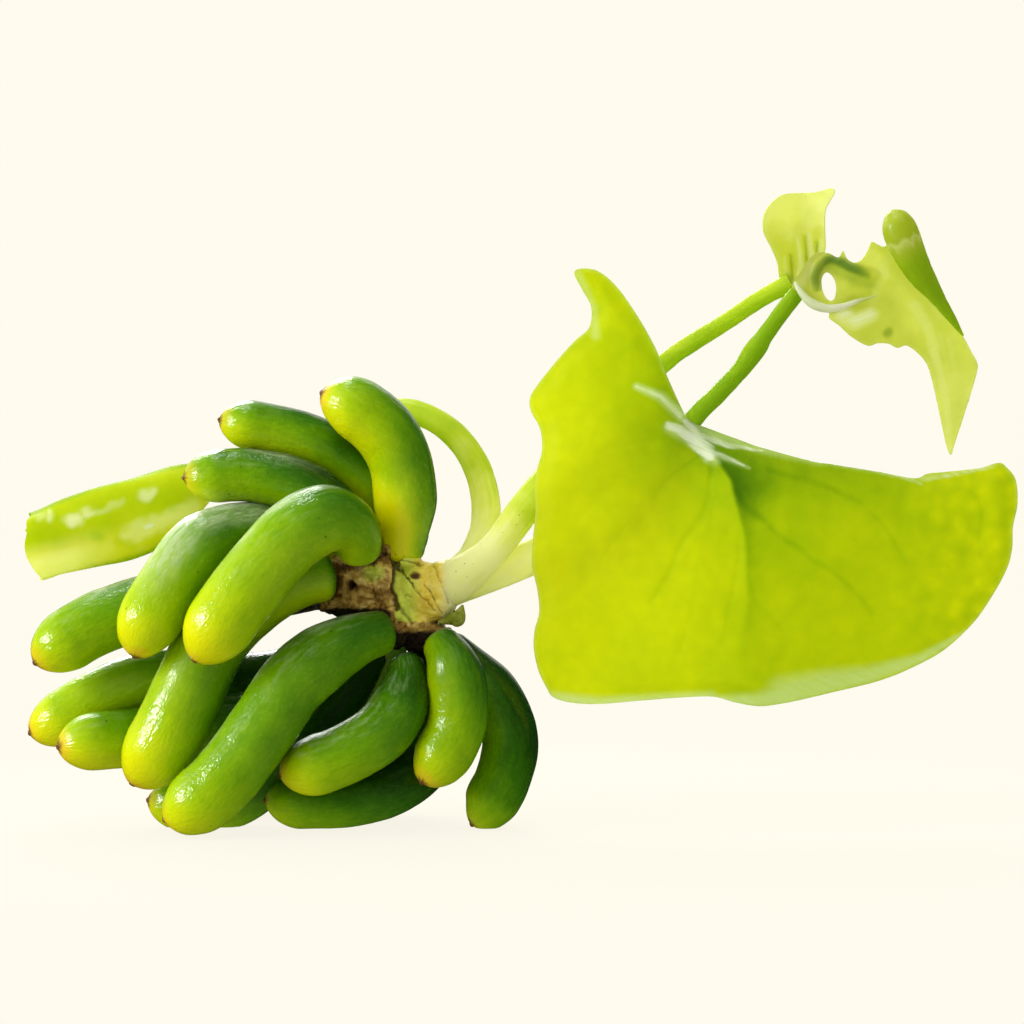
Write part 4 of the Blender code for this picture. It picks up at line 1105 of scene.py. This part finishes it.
class LILY_OT_stalks(bpy.types.Operator):
    """Grow the stalks along their routes"""

    bl_idname = "lily.stalks"
    bl_label = "Stalks"

    def execute(self, context):
        material = stalk_skin("stalk_skin", STALK_STOPS)
        tree = stalk_tree()
        for seed, (name, (green, low, high, dotted, route)) in enumerate(STALKS.items()):
            piece = grown_stalk(name + "_skin", route, tree, {
                "Green": green, "Green from": low, "Green to": high, "Dotted": dotted,
                "Skin radius": 1.5, "Lumps": 0.22, "Seed": seed + 31.0}, material,
                steps=16, rings=200)
            settle(piece, "stalk", name)
        return {"FINISHED"}


class LILY_OT_crown(bpy.types.Operator):
    """Model the knobbly rootstock and its scars"""

    bl_idname = "lily.crown"
    bl_label = "Crown"

    # Each swelling's middle and its half sizes, both across, up and back.
    BLOBS = [
        ((-17.4, 27.2, 1.0), (3.4, 3.0, 2.9)), ((-15.0, 27.6, 1.0), (2.3, 3.3, 3.1)),
        ((-10.9, 26.3, 0.8), (3.1, 3.5, 3.1)), ((-9.2, 26.0, 0.5), (2.5, 3.1, 2.9)),
        ((-11.9, 22.9, 0.7), (2.6, 2.9, 2.5)), ((-10.6, 21.2, 0.4), (2.3, 1.7, 2.1)),
        ((-18.2, 24.7, 0.4), (3.6, 1.3, 2.0)), ((-8.7, 26.8, -0.1), (2.2, 2.9, 2.55)),
        ((-7.6, 27.4, 0.6), (2.0, 2.6, 2.2)), ((-14.3, 30.2, 0.4), (1.0, 2.1, 1.7)),
        ((-12.4, 29.6, 0.6), (1.7, 0.9, 2.3)), ((-15.3, 22.9, -0.4), (2.1, 1.8, 1.9)),
        ((-16.6, 29.7, -0.6), (2.1, 1.1, 1.8)), ((-13.5, 24.6, 0.2), (1.9, 2.3, 2.3)),
        ((-13.6, 21.6, -0.6), (1.5, 1.6, 1.7)), ((-20.6, 25.0, 0.8), (1.5, 0.8, 1.0)),
        ((-9.0, 21.4, 0.4), (1.5, 1.2, 1.9)), ((-19.4, 29.0, -0.2), (1.6, 1.3, 1.6)),
    ]
    # Edges of the old leaf bases: a line, across and up, and its width.
    SCARS = [
        ([(-13.3, 29.0), (-12.4, 27.9), (-11.6, 27.0), (-10.6, 25.6), (-9.3, 24.2)], 0.24),
        ([(-10.4, 27.2), (-9.7, 26.0), (-9.2, 25.2), (-8.5, 24.1)], 0.2),
        ([(-9.6, 29.2), (-8.8, 27.6), (-8.2, 26.2), (-7.8, 25.2)], 0.2),
        ([(-12.5, 26.0), (-11.9, 25.9)], 0.2),
        ([(-13.5, 25.0), (-12.7, 23.9), (-11.8, 23.1)], 0.5),
        ([(-13.6, 30.1), (-12.4, 29.8), (-11.0, 29.4)], 0.4),
        ([(-19.6, 29.3), (-18.0, 29.0), (-16.5, 29.5), (-15.2, 30.5)], 0.5),
    ]

    def execute(self, context):
        shape = bmesh.new()
        for (across, up, back), (wide, tall, deep) in self.BLOBS:
            made = bmesh.ops.create_icosphere(shape, subdivisions=3, radius=1.0)
            for vertex in made["verts"]:
                x, y, z = vertex.co
                vertex.co = (across + x * wide, up + z * tall, back + y * deep)
        mesh = bpy.data.meshes.new("crown_bark")
        shape.to_mesh(mesh)
        shape.free()
        seen = np.array([v.co for v in mesh.vertices])
        mesh.vertices.foreach_set("co", spots(seen).ravel())
        piece = add("crown_bark", mesh)
        merge = piece.modifiers.new("merge", "REMESH")
        merge.mode = "VOXEL"
        merge.voxel_size = 0.13 * MM
        soften = piece.modifiers.new("soften", "SMOOTH")
        soften.iterations = 6
        done = use_modifiers(piece)
        self.carve(done)
        done.shade_smooth()
        done.materials.clear()
        done.materials.append(bark())
        settle(piece, "rootstock", "crown")
        return {"FINISHED"}

    def carve(self, mesh):
        """Scar lines, lumps and hollows, and the numbers that the bark's colours read."""
        count = len(mesh.vertices)
        co = np.zeros(count * 3)
        mesh.vertices.foreach_get("co", co)
        co = co.reshape(-1, 3)
        normals = np.zeros(count * 3, np.float32)
        mesh.vertex_normals.foreach_get("vector", normals)
        normals = normals.reshape(-1, 3)
        x, y, z = (co / MM).T
        x = x + MIDDLE_ACROSS
        # The bark is rough all over, and smoother on the right, where old leaf bases lie in steps.
        rough = np.array([noise.fractal(Vector((a, b, c)) * 0.55, 0.8, 2.0, 4)
                          for a, b, c in zip(x, y, z)])
        fine = np.array([noise.noise(Vector((a, b, c)) * 2.1) for a, b, c in zip(x, y, z)])
        right = ease(-14.2, -13.2, x) * ease(22.6, 23.8, z)
        height = rough * (0.5 - 0.4 * right) + fine * (0.16 - 0.12 * right)
        seen = np.column_stack([x, z]) + 0.22 * np.column_stack([rough, fine])
        scars = strokes(seen, [(smooth_line(line, 5), width, 1.0) for line, width in self.SCARS])
        scars *= ease(1.6, 0.2, y)
        height -= 0.16 * scars
        steps = (x * 0.82 + z * 0.57) / 1.5
        height += right * ease(-0.6, 0.6, y) * 0.2 * (steps - np.floor(steps) - 0.5)
        # A groove round the middle, and a rotten hole at the left.
        ring = np.exp(-((x + 13.7 + 0.15 * np.sin(z * 1.7)) / 0.3) ** 2) * ease(23.6, 24.6, z)
        height -= ring * 0.6
        hole = np.exp(-(((x + 18.7) / 0.5) ** 2 + ((z - 27.1) / 0.8) ** 2)) * ease(1.0, -0.5, y)
        height -= hole * 1.3
        co += normals * (height * MM)[:, None]
        mesh.vertices.foreach_set("co", co.ravel())
        # A mossy patch at the left and a brown blotch at the right; scars and blotch dark brown, and
        # painted shade in the groove, hole and low spots;
        # black in the hole, partly rot and partly painted shade, and black as painted shade under the
        # crown and at its foot.
        patch = np.exp(-(((x + 16.2) / 1.7) ** 2 + ((z - 28.6) / 1.5) ** 2))
        blotch = np.exp(-(((x + 11.5) / 0.9) ** 2 + ((z - 28.2) / 0.7) ** 2))
        write_number(mesh, "moss", np.clip(right * 1.2 + patch * 0.7 - blotch, 0, 1))
        write_number(mesh, "pale", ease(-9.2, -7.4, x) * 0.95)
        write_number(mesh, "scars_and_shade", np.clip(scars * 0.62 + ring + hole * 1.2 + 0.5 * (rough < -0.35)
                                             * (1 - right) + blotch * 0.7, 0, 1))
        under = ease(25.2, 23.8, z) * ease(-13.2, -15.0, x)
        heel = ease(23.2, 21.0, z)
        write_number(mesh, "rot_and_shade", np.clip(under + heel + hole * 0.9, 0, 1))


class LILY_OT_big_leaf(bpy.types.Operator):
    """Cut, fold and vein the broad leaf"""

    bl_idname = "lily.big_leaf"
    bl_label = "Big leaf"

    def execute(self, context):
        looks = context.scene.lily_looks
        outline = smooth_line(BIG_LEAF_RIM, 9, closed=True)
        points, faces, edge = cut_sheet(outline, [], pitch=0.3, finer=BIG_LEAF_FINE)
        across, up = points.T
        fold = across - np.interp(up, FOLD_UP, FOLD_ACROSS)
        # The blade dips along the fold, waves all over and curls back at its margin.
        backs = bent_surface(BIG_LEAF_DEPTHS)(points)
        backs -= 0.5 * np.exp(-np.abs(fold) / 1.8) * ease(46.0, 40.0, up) * ease(16.0, 32.0, up)
        backs += 0.3 * ripple(points, 0.14, 3.0) + 0.05 * ripple(points, 0.7, 5.0)
        wobble = 0.35 * np.column_stack([ripple(points, 0.35, 9.0), ripple(points, 0.35, 19.0)])
        veins = strokes(points + wobble, [(smooth_line(line, 6), width, strength)
                                          for line, width, strength in BIG_LEAF_VEINS])
        backs += 0.08 * veins
        lower = ease(24.0, 16.0, up) * ease(18.0, 26.0, across)
        backs += ease(2.2, 0.0, edge) * (0.5 + 1.2 * lower)
        high = ease(20.0, 40.0, up)
        right = ease(-1.0, 1.0, fold / (0.4 + 1.6 * ease(28.0, 14.0, up)))
        # Painted shade: the half at the right is darker, most of all beside the fold and near the
        # notch.
        lit = 0.92 - right * (0.15 + 0.08 * high) + 0.05 * ease(14.0, 3.0, across)
        lit -= 0.12 * ease(46.0, 54.0, up)
        lit -= right * (0.05 + 0.22 * high) * np.exp(-fold.clip(0) / 3.5)
        lit -= 0.12 * right * np.exp(-fold.clip(0) / 0.6) * ease(16.0, 24.0, up)
        lit -= 0.21 * right * ease(33.0, 40.0, up) * ease(48.0, 36.0, across)
        lit += 0.08 * right * ease(44.0, 52.0, across)
        lit -= 0.28 * right * np.exp(-(((across - 23.8) / 3.4) ** 2 + ((up - 38.2) / 3.0) ** 2))
        # Painted shade: the half at the left darkens towards the notch and towards the fold.
        reach = np.linalg.norm(points - BIG_LEAF_NOTCH, axis=1)
        lit -= 0.06 * (1 - right) * ease(32.0, 18.0, up)
        lit -= (1 - right) * (0.36 * np.exp(-(reach / 9.0) ** 2)
                              + 0.19 * np.exp(fold.clip(-30, 0) / 4.5))
        lit -= 0.10 * np.exp(-(((across - 29.5) / 3.2) ** 2 + ((up - 31.6) / 2.2) ** 2))
        lit -= 0.10 * veins
        lit -= 0.05 * stroke(points, [(5.6, 62.0), (7.4, 58.0)], 2.0)
        thin_and_glint = np.maximum(strokes(points, BIG_LEAF_THIN_AND_SHEEN), ease(0.45, 0.0, edge) * 0.35)
        film_and_gloss = strokes(points, BIG_LEAF_FILM_AND_GLOSS)
        nets = right * ease(40.0, 50.0, across) * 0.8 + 0.08
        material = leaf_skin("big_leaf_skin", [
            (0.0, (96, 144, 0)), (0.3, (142, 178, 0)), (0.55, (180, 204, 0)),
            (0.8, (203, 216, 0)), (1.0, (218, 226, 0))], paint(214, 230, 168),
            through=0.5, slant=-26.0)
        leaf = leaf_mesh("big_leaf_blade", points, faces, backs, {
            "lit": lit, "thin_and_glint": thin_and_glint, "film_and_gloss": film_and_gloss, "nets": nets}, material, looks.leaf_thickness)
        settle(leaf, "leaf", "big_leaf")
        return {"FINISHED"}


class LILY_OT_small_leaves(bpy.types.Operator):
    """Cut the upright leaf and the curled leaf, and roll the curled leaf's margins"""

    bl_idname = "lily.small_leaves"
    bl_label = "Small leaves"

    def execute(self, context):
        thickness = context.scene.lily_looks.leaf_thickness
        material = leaf_skin("young_leaf_skin", [
            (0.0, (108, 146, 16)), (0.3, (160, 182, 38)), (0.6, (204, 213, 78)),
            (0.85, (216, 223, 104)), (1.0, (228, 233, 150))], paint(226, 232, 178),
            through=0.55, slant=80.0, cell_scale=0.9)
        self.upright_leaf(material, thickness)
        material = material.copy()
        material.name = "curled_leaf_skin"
        material.node_tree.nodes["fibres"].inputs["Angle"].default_value = math.radians(-24.0)
        self.curled_leaf(material, thickness)
        tree = stalk_tree()
        for seed, (name, (stops, low, high, route)) in enumerate(MARGINS.items()):
            piece = grown_stalk(name, route, tree, {
                "Green": 1.0, "Green first": 0.1, "Green from": low, "Green to": high,
                "Skin radius": 1.0, "Lumps": 0.25, "Seed": seed + 51.0},
                stalk_skin(name + "_skin", stops), steps=12, rings=110)
            settle(piece, "young_leaf")
        return {"FINISHED"}

    def upright_leaf(self, material, thickness):
        """The small cupped leaf, ribbed at its foot."""
        outline = smooth_line(UPRIGHT_RIM, 10, closed=True)
        points, faces, edge = cut_sheet(outline, [], pitch=0.14)
        backs = bent_surface(UPRIGHT_DEPTHS)(points) + 0.12 * ripple(points, 0.5, 2.0)
        lit = 0.78 + 0.2 * ease(62.5, 68.0, points[:, 1]) - 0.12 * stroke(
            points, [(31.5, 61.0), (32.4, 63.5), (32.9, 66.0)], 1.0)
        for line, width in UPRIGHT_RIBS:
            lit -= 0.34 * stroke(points, line, width, 1.1, 0.6)
            backs += 0.35 * stroke(points, line, width * 1.6, 1.1, 0.6)
        thin_and_glint = np.maximum(ease(0.7, 0.0, edge) * 0.3, strokes(points, UPRIGHT_STREAKS, (1.2, 0.6)))
        leaf = leaf_mesh("upright_leaf_blade", points, faces, backs, {
            "lit": lit, "thin_and_glint": thin_and_glint}, material, thickness)
        settle(leaf, "young_leaf", "upright_leaf")

    def curled_leaf(self, material, thickness):
        """The damaged leaf, with its hole and the fold above it."""
        outline = smooth_line(CURLED_RIM, 5, closed=True)
        hole = smooth_line(CURLED_HOLE, 5, closed=True)
        points, faces, edge = cut_sheet(outline, [hole], pitch=0.17)
        across, up = points.T
        backs = bent_surface(CURLED_DEPTHS)(points) + 0.15 * ripple(points, 0.4, 7.0)
        hem = stroke(points, smooth_line(CURLED_HEM, 5), 0.95, 0.7, 0.9)
        backs -= 0.3 * hem
        # Painted light and shade: brighter low down, darker in the fold under the hem.
        lit = 0.7 + 0.1 * ripple(points, 0.3, 1.0) + 0.1 * ease(52.0, 46.0, up)
        lit -= 0.55 * hem * ease(39.4, 36.6, across) * (0.55 + 0.45 * ease(32.8, 33.8, across))
        for line, width, change in CURLED_SHADING_AND_SPOT:
            lit += change * stroke(points, line, width)
        thin_and_glint = 0.12 + ease(0.5, 0.0, edge) * 0.2 + 0.16 * ease(54.0, 48.0, up)
        thin_and_glint = np.maximum(thin_and_glint, strokes(points, CURLED_STREAKS, (1.0, 0.8)))
        # A painted wet highlight in the cup under the lip.
        film_and_gloss = stroke(points, [(35.4, 57.0), (36.8, 56.2), (38.4, 56.9)], 1.5, 0.8, 0.8) * 0.5
        leaf = leaf_mesh("curled_leaf_blade", points, faces, backs, {
            "lit": lit, "film_and_gloss": film_and_gloss, "thin_and_glint": thin_and_glint, "nets": np.full(len(points), 0.2)}, material,
            thickness)
        settle(leaf, "young_leaf", "curled_leaf")


class LILY_OT_rolled_leaf(bpy.types.Operator):
    """Roll the young leaf lengthwise, both margins tucked inward"""

    bl_idname = "lily.rolled_leaf"
    bl_label = "Rolled leaf"

    # Steps between two places of the roll, points round it, and the turns, in degrees from its top,
    # where its two margins lie.
    ALONG = 16
    ROUND = 150
    MARGIN_TURNS = (-58.0, 236.0)

    def execute(self, context):
        looks = context.scene.lily_looks
        stops = smooth_line(ROLL, self.ALONG)
        first, last = np.radians(self.MARGIN_TURNS)
        turns = np.linspace(first, last, self.ROUND)
        # Both margins tuck inward, and the open end is cut at a slant and a little ragged.
        inward = 1.0 - 0.16 * ease(math.radians(200.0), last, turns)
        inward -= 0.2 * ease(math.radians(-20.0), first, turns)
        rows = []
        for i, (across, up, back, tall, deep) in enumerate(stops):
            share = i / (len(stops) - 1)
            wave = 0.02 * np.sin(5.0 * turns + 9.0 * share)
            late = ease(0.8, 1.0, share)
            low = ease(-0.3, -1.0, np.cos(turns)) * late
            high = ease(0.5, 1.0, np.cos(turns)) * late
            ragged = late * 0.12 * np.sin(7.0 * turns)
            rows.append(np.column_stack([
                across + 1.7 * low + 0.5 * high + ragged,
                up + (inward + wave) * tall * np.cos(turns) - 0.3 * high,
                back - (inward + wave) * deep * np.sin(turns)]))
        grid = np.vstack(rows)
        count = len(rows)
        faces = [(i * self.ROUND + j, i * self.ROUND + j + 1, (i + 1) * self.ROUND + j + 1,
                  (i + 1) * self.ROUND + j) for i in range(count - 1) for j in range(self.ROUND - 1)]
        across, up, back = grid.T
        centre = np.repeat(stops[:, 1], self.ROUND)
        low_part = ease(0.5, -2.5, up - centre)
        open_end = ease(-43.0, -51.0, across)
        lit = 0.54 + 0.26 * low_part + 0.2 * open_end * low_part
        lit += 0.2 * ease(-40.0, -36.0, across) * low_part
        level = np.tile(np.cos(turns), count)
        lit -= 0.35 * ease(0.86, 1.0, level) + 0.3 * ease(-0.88, -1.0, level)
        flat = grid[:, :2]
        wavy = flat + 0.75 * np.column_stack([ripple(flat, 0.75, 4.0), ripple(flat, 0.75, 14.0)])
        # Paler where the inside shows at the open end, and painted glints over the roll.
        thin_and_glint = 0.45 * open_end * low_part
        thin_and_glint = np.maximum(thin_and_glint, strokes(wavy, ROLL_GLINTS))
        film_and_gloss = stroke(flat, [(-41.2, 33.4), (-40.6, 33.6)], 0.5) * 0.8
        stain = stroke(flat, [(-46.8, 32.5), (-46.3, 32.3)], 0.9) + 0.6 * stroke(
            flat, [(-44.3, 31.9), (-42.8, 31.6)], 0.8)
        material = leaf_skin("rolled_leaf_skin", [
            (0.0, (140, 170, 0)), (0.3, (182, 208, 0)), (0.55, (206, 222, 6)),
            (0.8, (228, 231, 50)), (1.0, (238, 240, 120))], paint(246, 249, 214),
            through=0.5, slant=17.0)
        leaf = leaf_mesh("rolled_leaf_blade", flat, faces, back, {
            "lit": lit - 0.2 * stain, "film_and_gloss": film_and_gloss, "thin_and_glint": thin_and_glint}, material,
            looks.leaf_thickness)
        settle(leaf, "young_leaf", "rolled_leaf")
        return {"FINISHED"}


class LILY_OT_scraps(bpy.types.Operator):
    """Shape the withered root and the small bract under the crown"""

    bl_idname = "lily.scraps"
    bl_label = "Scraps"

    def execute(self, context):
        tree = stalk_tree()
        skin = scrap_skin("withered", [
            (0.3, (26, 18, 18)), (0.5, (66, 56, 52)), (0.65, (120, 110, 104))],
            scale=1.2, flaking=0.65, roughness=0.22, relief=0.15)
        piece = grown_stalk("withered_root_skin", ROOT_ROUTE, tree, {
            "Skin radius": 0.6, "Lumps": 0.5, "Seed": 71.0}, skin, steps=14, rings=80)
        settle(piece, "rootstock", "withered_root")
        skin = scrap_skin("bract_skin", [
            (0.3, (70, 74, 24)), (0.5, (120, 132, 34)), (0.7, (160, 160, 78))],
            scale=0.9, flaking=0.6, roughness=0.26, relief=0.08)
        piece = grown_stalk("bract_skin", BRACT_ROUTE, tree, {
            "Skin radius": 0.8, "Lumps": 0.3, "Seed": 81.0}, skin, steps=12, rings=70)
        settle(piece, "stalk", "bract")
        return {"FINISHED"}


class LILY_OT_stage(bpy.types.Operator):
    """Set the pale bowl-shaped surface, the soft lights and the camera"""

    bl_idname = "lily.stage"
    bl_label = "Stage"

    # The bowl, in metres: the radius of its flat floor, the radius of its wall, and its height.
    FLAT = 0.9
    WALL = 1.6
    RISE = 1.7
    # Each lamp, aimed at AIM: its place, its width, its strength against the key's, and whether it
    # shows only as a reflection or else only as soft light.
    LAMPS = {
        "key": ((-0.40, -0.18, 0.20), 0.25, 1.0, False),
        "rim": ((-0.10, 0.42, 0.36), 0.40, 2.0, False),
        "glint": ((-0.43, -0.18, 0.145), 0.085, 1.6, True),
        "gleam": ((-0.09, 0.07, 0.47), 0.08, 0.4, True),
        "halo": ((-0.14, 0.42, 0.33), 0.2, 1.5, True),
    }
    AIM = Vector((-0.02, 0.0, 0.03))

    def execute(self, context):
        looks = context.scene.lily_looks
        cream = tuple(looks.cream) + (1.0,)
        context.scene.view_settings.view_transform = "Standard"
        bowl = self.bowl(self.paper(cream))
        self.sky(cream)
        for name, (where, size, strength, mirrored) in self.LAMPS.items():
            self.lamp(name, Vector(where), size, looks.key * strength, mirrored)
        context.scene.camera = self.camera()
        return {"FINISHED"}

    def bowl(self, material):
        """A round floor that bends up into a wall, seen from inside."""
        shape = bmesh.new()
        bend = self.WALL - self.FLAT
        profile = [(0.0, 0.0), (self.FLAT, 0.0)]
        profile += [(self.FLAT + bend * math.sin(math.radians(a)),
                     bend * (1.0 - math.cos(math.radians(a)))) for a in range(6, 91, 6)]
        profile.append((self.WALL, self.RISE))
        verts = [shape.verts.new((x, 0.0, z)) for x, z in profile]
        edges = [shape.edges.new(pair) for pair in zip(verts, verts[1:])]
        bmesh.ops.spin(shape, geom=verts + edges, cent=(0, 0, 0), axis=(0, 0, 1),
                       angle=2 * math.pi, steps=96)
        bmesh.ops.remove_doubles(shape, verts=shape.verts, dist=1e-5)
        bmesh.ops.recalc_face_normals(shape, faces=shape.faces)
        bmesh.ops.reverse_faces(shape, faces=shape.faces)
        mesh = bpy.data.meshes.new("paper")
        shape.to_mesh(mesh)
        shape.free()
        mesh.shade_smooth()
        mesh.materials.append(material)
        return add("paper", mesh)

    def camera(self):
        """The camera that sees the plant as the tables above give it."""
        lens = bpy.data.cameras.new("camera")
        camera = bpy.data.objects.new("camera", lens)
        bpy.context.scene.collection.objects.link(camera)
        lens.sensor_width = 36.0
        lens.lens = lens.sensor_width * VIEW_DISTANCE / FRAME_WIDTH
        lens.clip_start = 0.02
        lens.clip_end = 10.0
        aim = Vector((AIM_ACROSS - MIDDLE_ACROSS, -MIDDLE_BACK, AIM_UP)) * MM
        way = Vector((0.0, -math.cos(VIEW_TILT), math.sin(VIEW_TILT)))
        camera.location = aim + way * (VIEW_DISTANCE * MM)
        camera.rotation_euler = (math.radians(90.0) - VIEW_TILT, 0.0, 0.0)
        return camera

    def sky(self, cream):
        """Soft light from above, of which little shows in the wet skin."""
        world = bpy.data.worlds.new("studio")
        world.use_nodes = True
        world.node_tree.nodes.clear()
        board = Board(world.node_tree)
        in_gloss = board.node("ShaderNodeLightPath", out="Is Glossy Ray")
        light = board.node("ShaderNodeBackground", values={
            "Color": cream, "Strength": board.blend(in_gloss, 1.3, 0.04)})
        board.node("ShaderNodeOutputWorld", values={"Surface": light})
        bpy.context.scene.world = world

    def paper(self, cream):
        """Pale paper, even to the camera; it lights the plant from the left and from behind."""
        material, board = skin_board("paper")
        x, y, z = board.parts(board.node("ShaderNodeTexCoord", out="Object"))
        back = y.step(0.1, 1.4)
        glow = 0.62 + x.step(0.2, -1.3) * 1.0 + back * 1.2 + z.step(0.3, 1.5) * 0.3
        mirrored = 0.02 + back * x.step(0.2, -1.0) * 0.4 + y.step(1.15, 1.5) * 1.3
        to_camera = board.node("ShaderNodeLightPath", out="Is Camera Ray")
        in_gloss = board.node("ShaderNodeLightPath", out="Is Glossy Ray")
        near = (x * x + y * y).step(0.014, 0.002)
        strength = board.blend(to_camera, board.blend(in_gloss, glow, mirrored), 1.0 - near * 0.1)
        light = board.node("ShaderNodeEmission", values={"Color": cream, "Strength": strength})
        soft = board.node("ShaderNodeBsdfDiffuse", values={"Color": (0.06, 0.058, 0.052, 1.0)})
        both = board.node("ShaderNodeAddShader", values={0: light, 1: soft})
        show(board, board.node("ShaderNodeMixShader", values={0: to_camera * near, 1: light, 2: both}))
        material.cycles.emission_sampling = "NONE"
        return material

    def lamp(self, name, where, size, power, mirrored):
        """A square lamp that shows only as a reflection, or only as soft light."""
        data = bpy.data.lights.new(name, "AREA")
        data.shape = "SQUARE"
        data.size = size
        data.energy = power
        lamp = bpy.data.objects.new(name, data)
        lamp.location = where
        lamp.rotation_euler = (self.AIM - where).to_track_quat("-Z", "Y").to_euler()
        lamp.visible_camera = False
        lamp.visible_glossy = mirrored
        lamp.visible_diffuse = not mirrored
        lamp.visible_transmission = not mirrored
        bpy.context.scene.collection.objects.link(lamp)


class LILY_PT_panel(bpy.types.Panel):
    """The plant's looks and the steps that build it"""

    bl_idname = "LILY_PT_panel"
    bl_label = "Banana lily"
    bl_space_type = "VIEW_3D"
    bl_region_type = "UI"
    bl_category = "Lily"

    def draw(self, context):
        looks = context.scene.lily_looks
        for name in looks.__annotations__:
            self.layout.prop(looks, name)
        for step in STEPS:
            self.layout.operator(step.bl_idname)


STEPS = (LILY_OT_tubers, LILY_OT_stalks, LILY_OT_crown, LILY_OT_big_leaf, LILY_OT_small_leaves,
         LILY_OT_rolled_leaf, LILY_OT_scraps, LILY_OT_stage)
CLASSES = (LilyLooks, *STEPS, LILY_PT_panel)


def register():
    for cls in CLASSES:
        bpy.utils.register_class(cls)
    bpy.types.Scene.lily_looks = bpy.props.PointerProperty(type=LilyLooks)


def unregister():
    del bpy.types.Scene.lily_looks
    for cls in reversed(CLASSES):
        bpy.utils.unregister_class(cls)


def main():
    register()
    bpy.ops.lily.tubers()
    bpy.ops.lily.stalks()
    bpy.ops.lily.crown()
    bpy.ops.lily.big_leaf()
    bpy.ops.lily.small_leaves()
    bpy.ops.lily.rolled_leaf()
    bpy.ops.lily.scraps()
    bpy.ops.lily.stage()


if __name__ == "__main__":
    main()
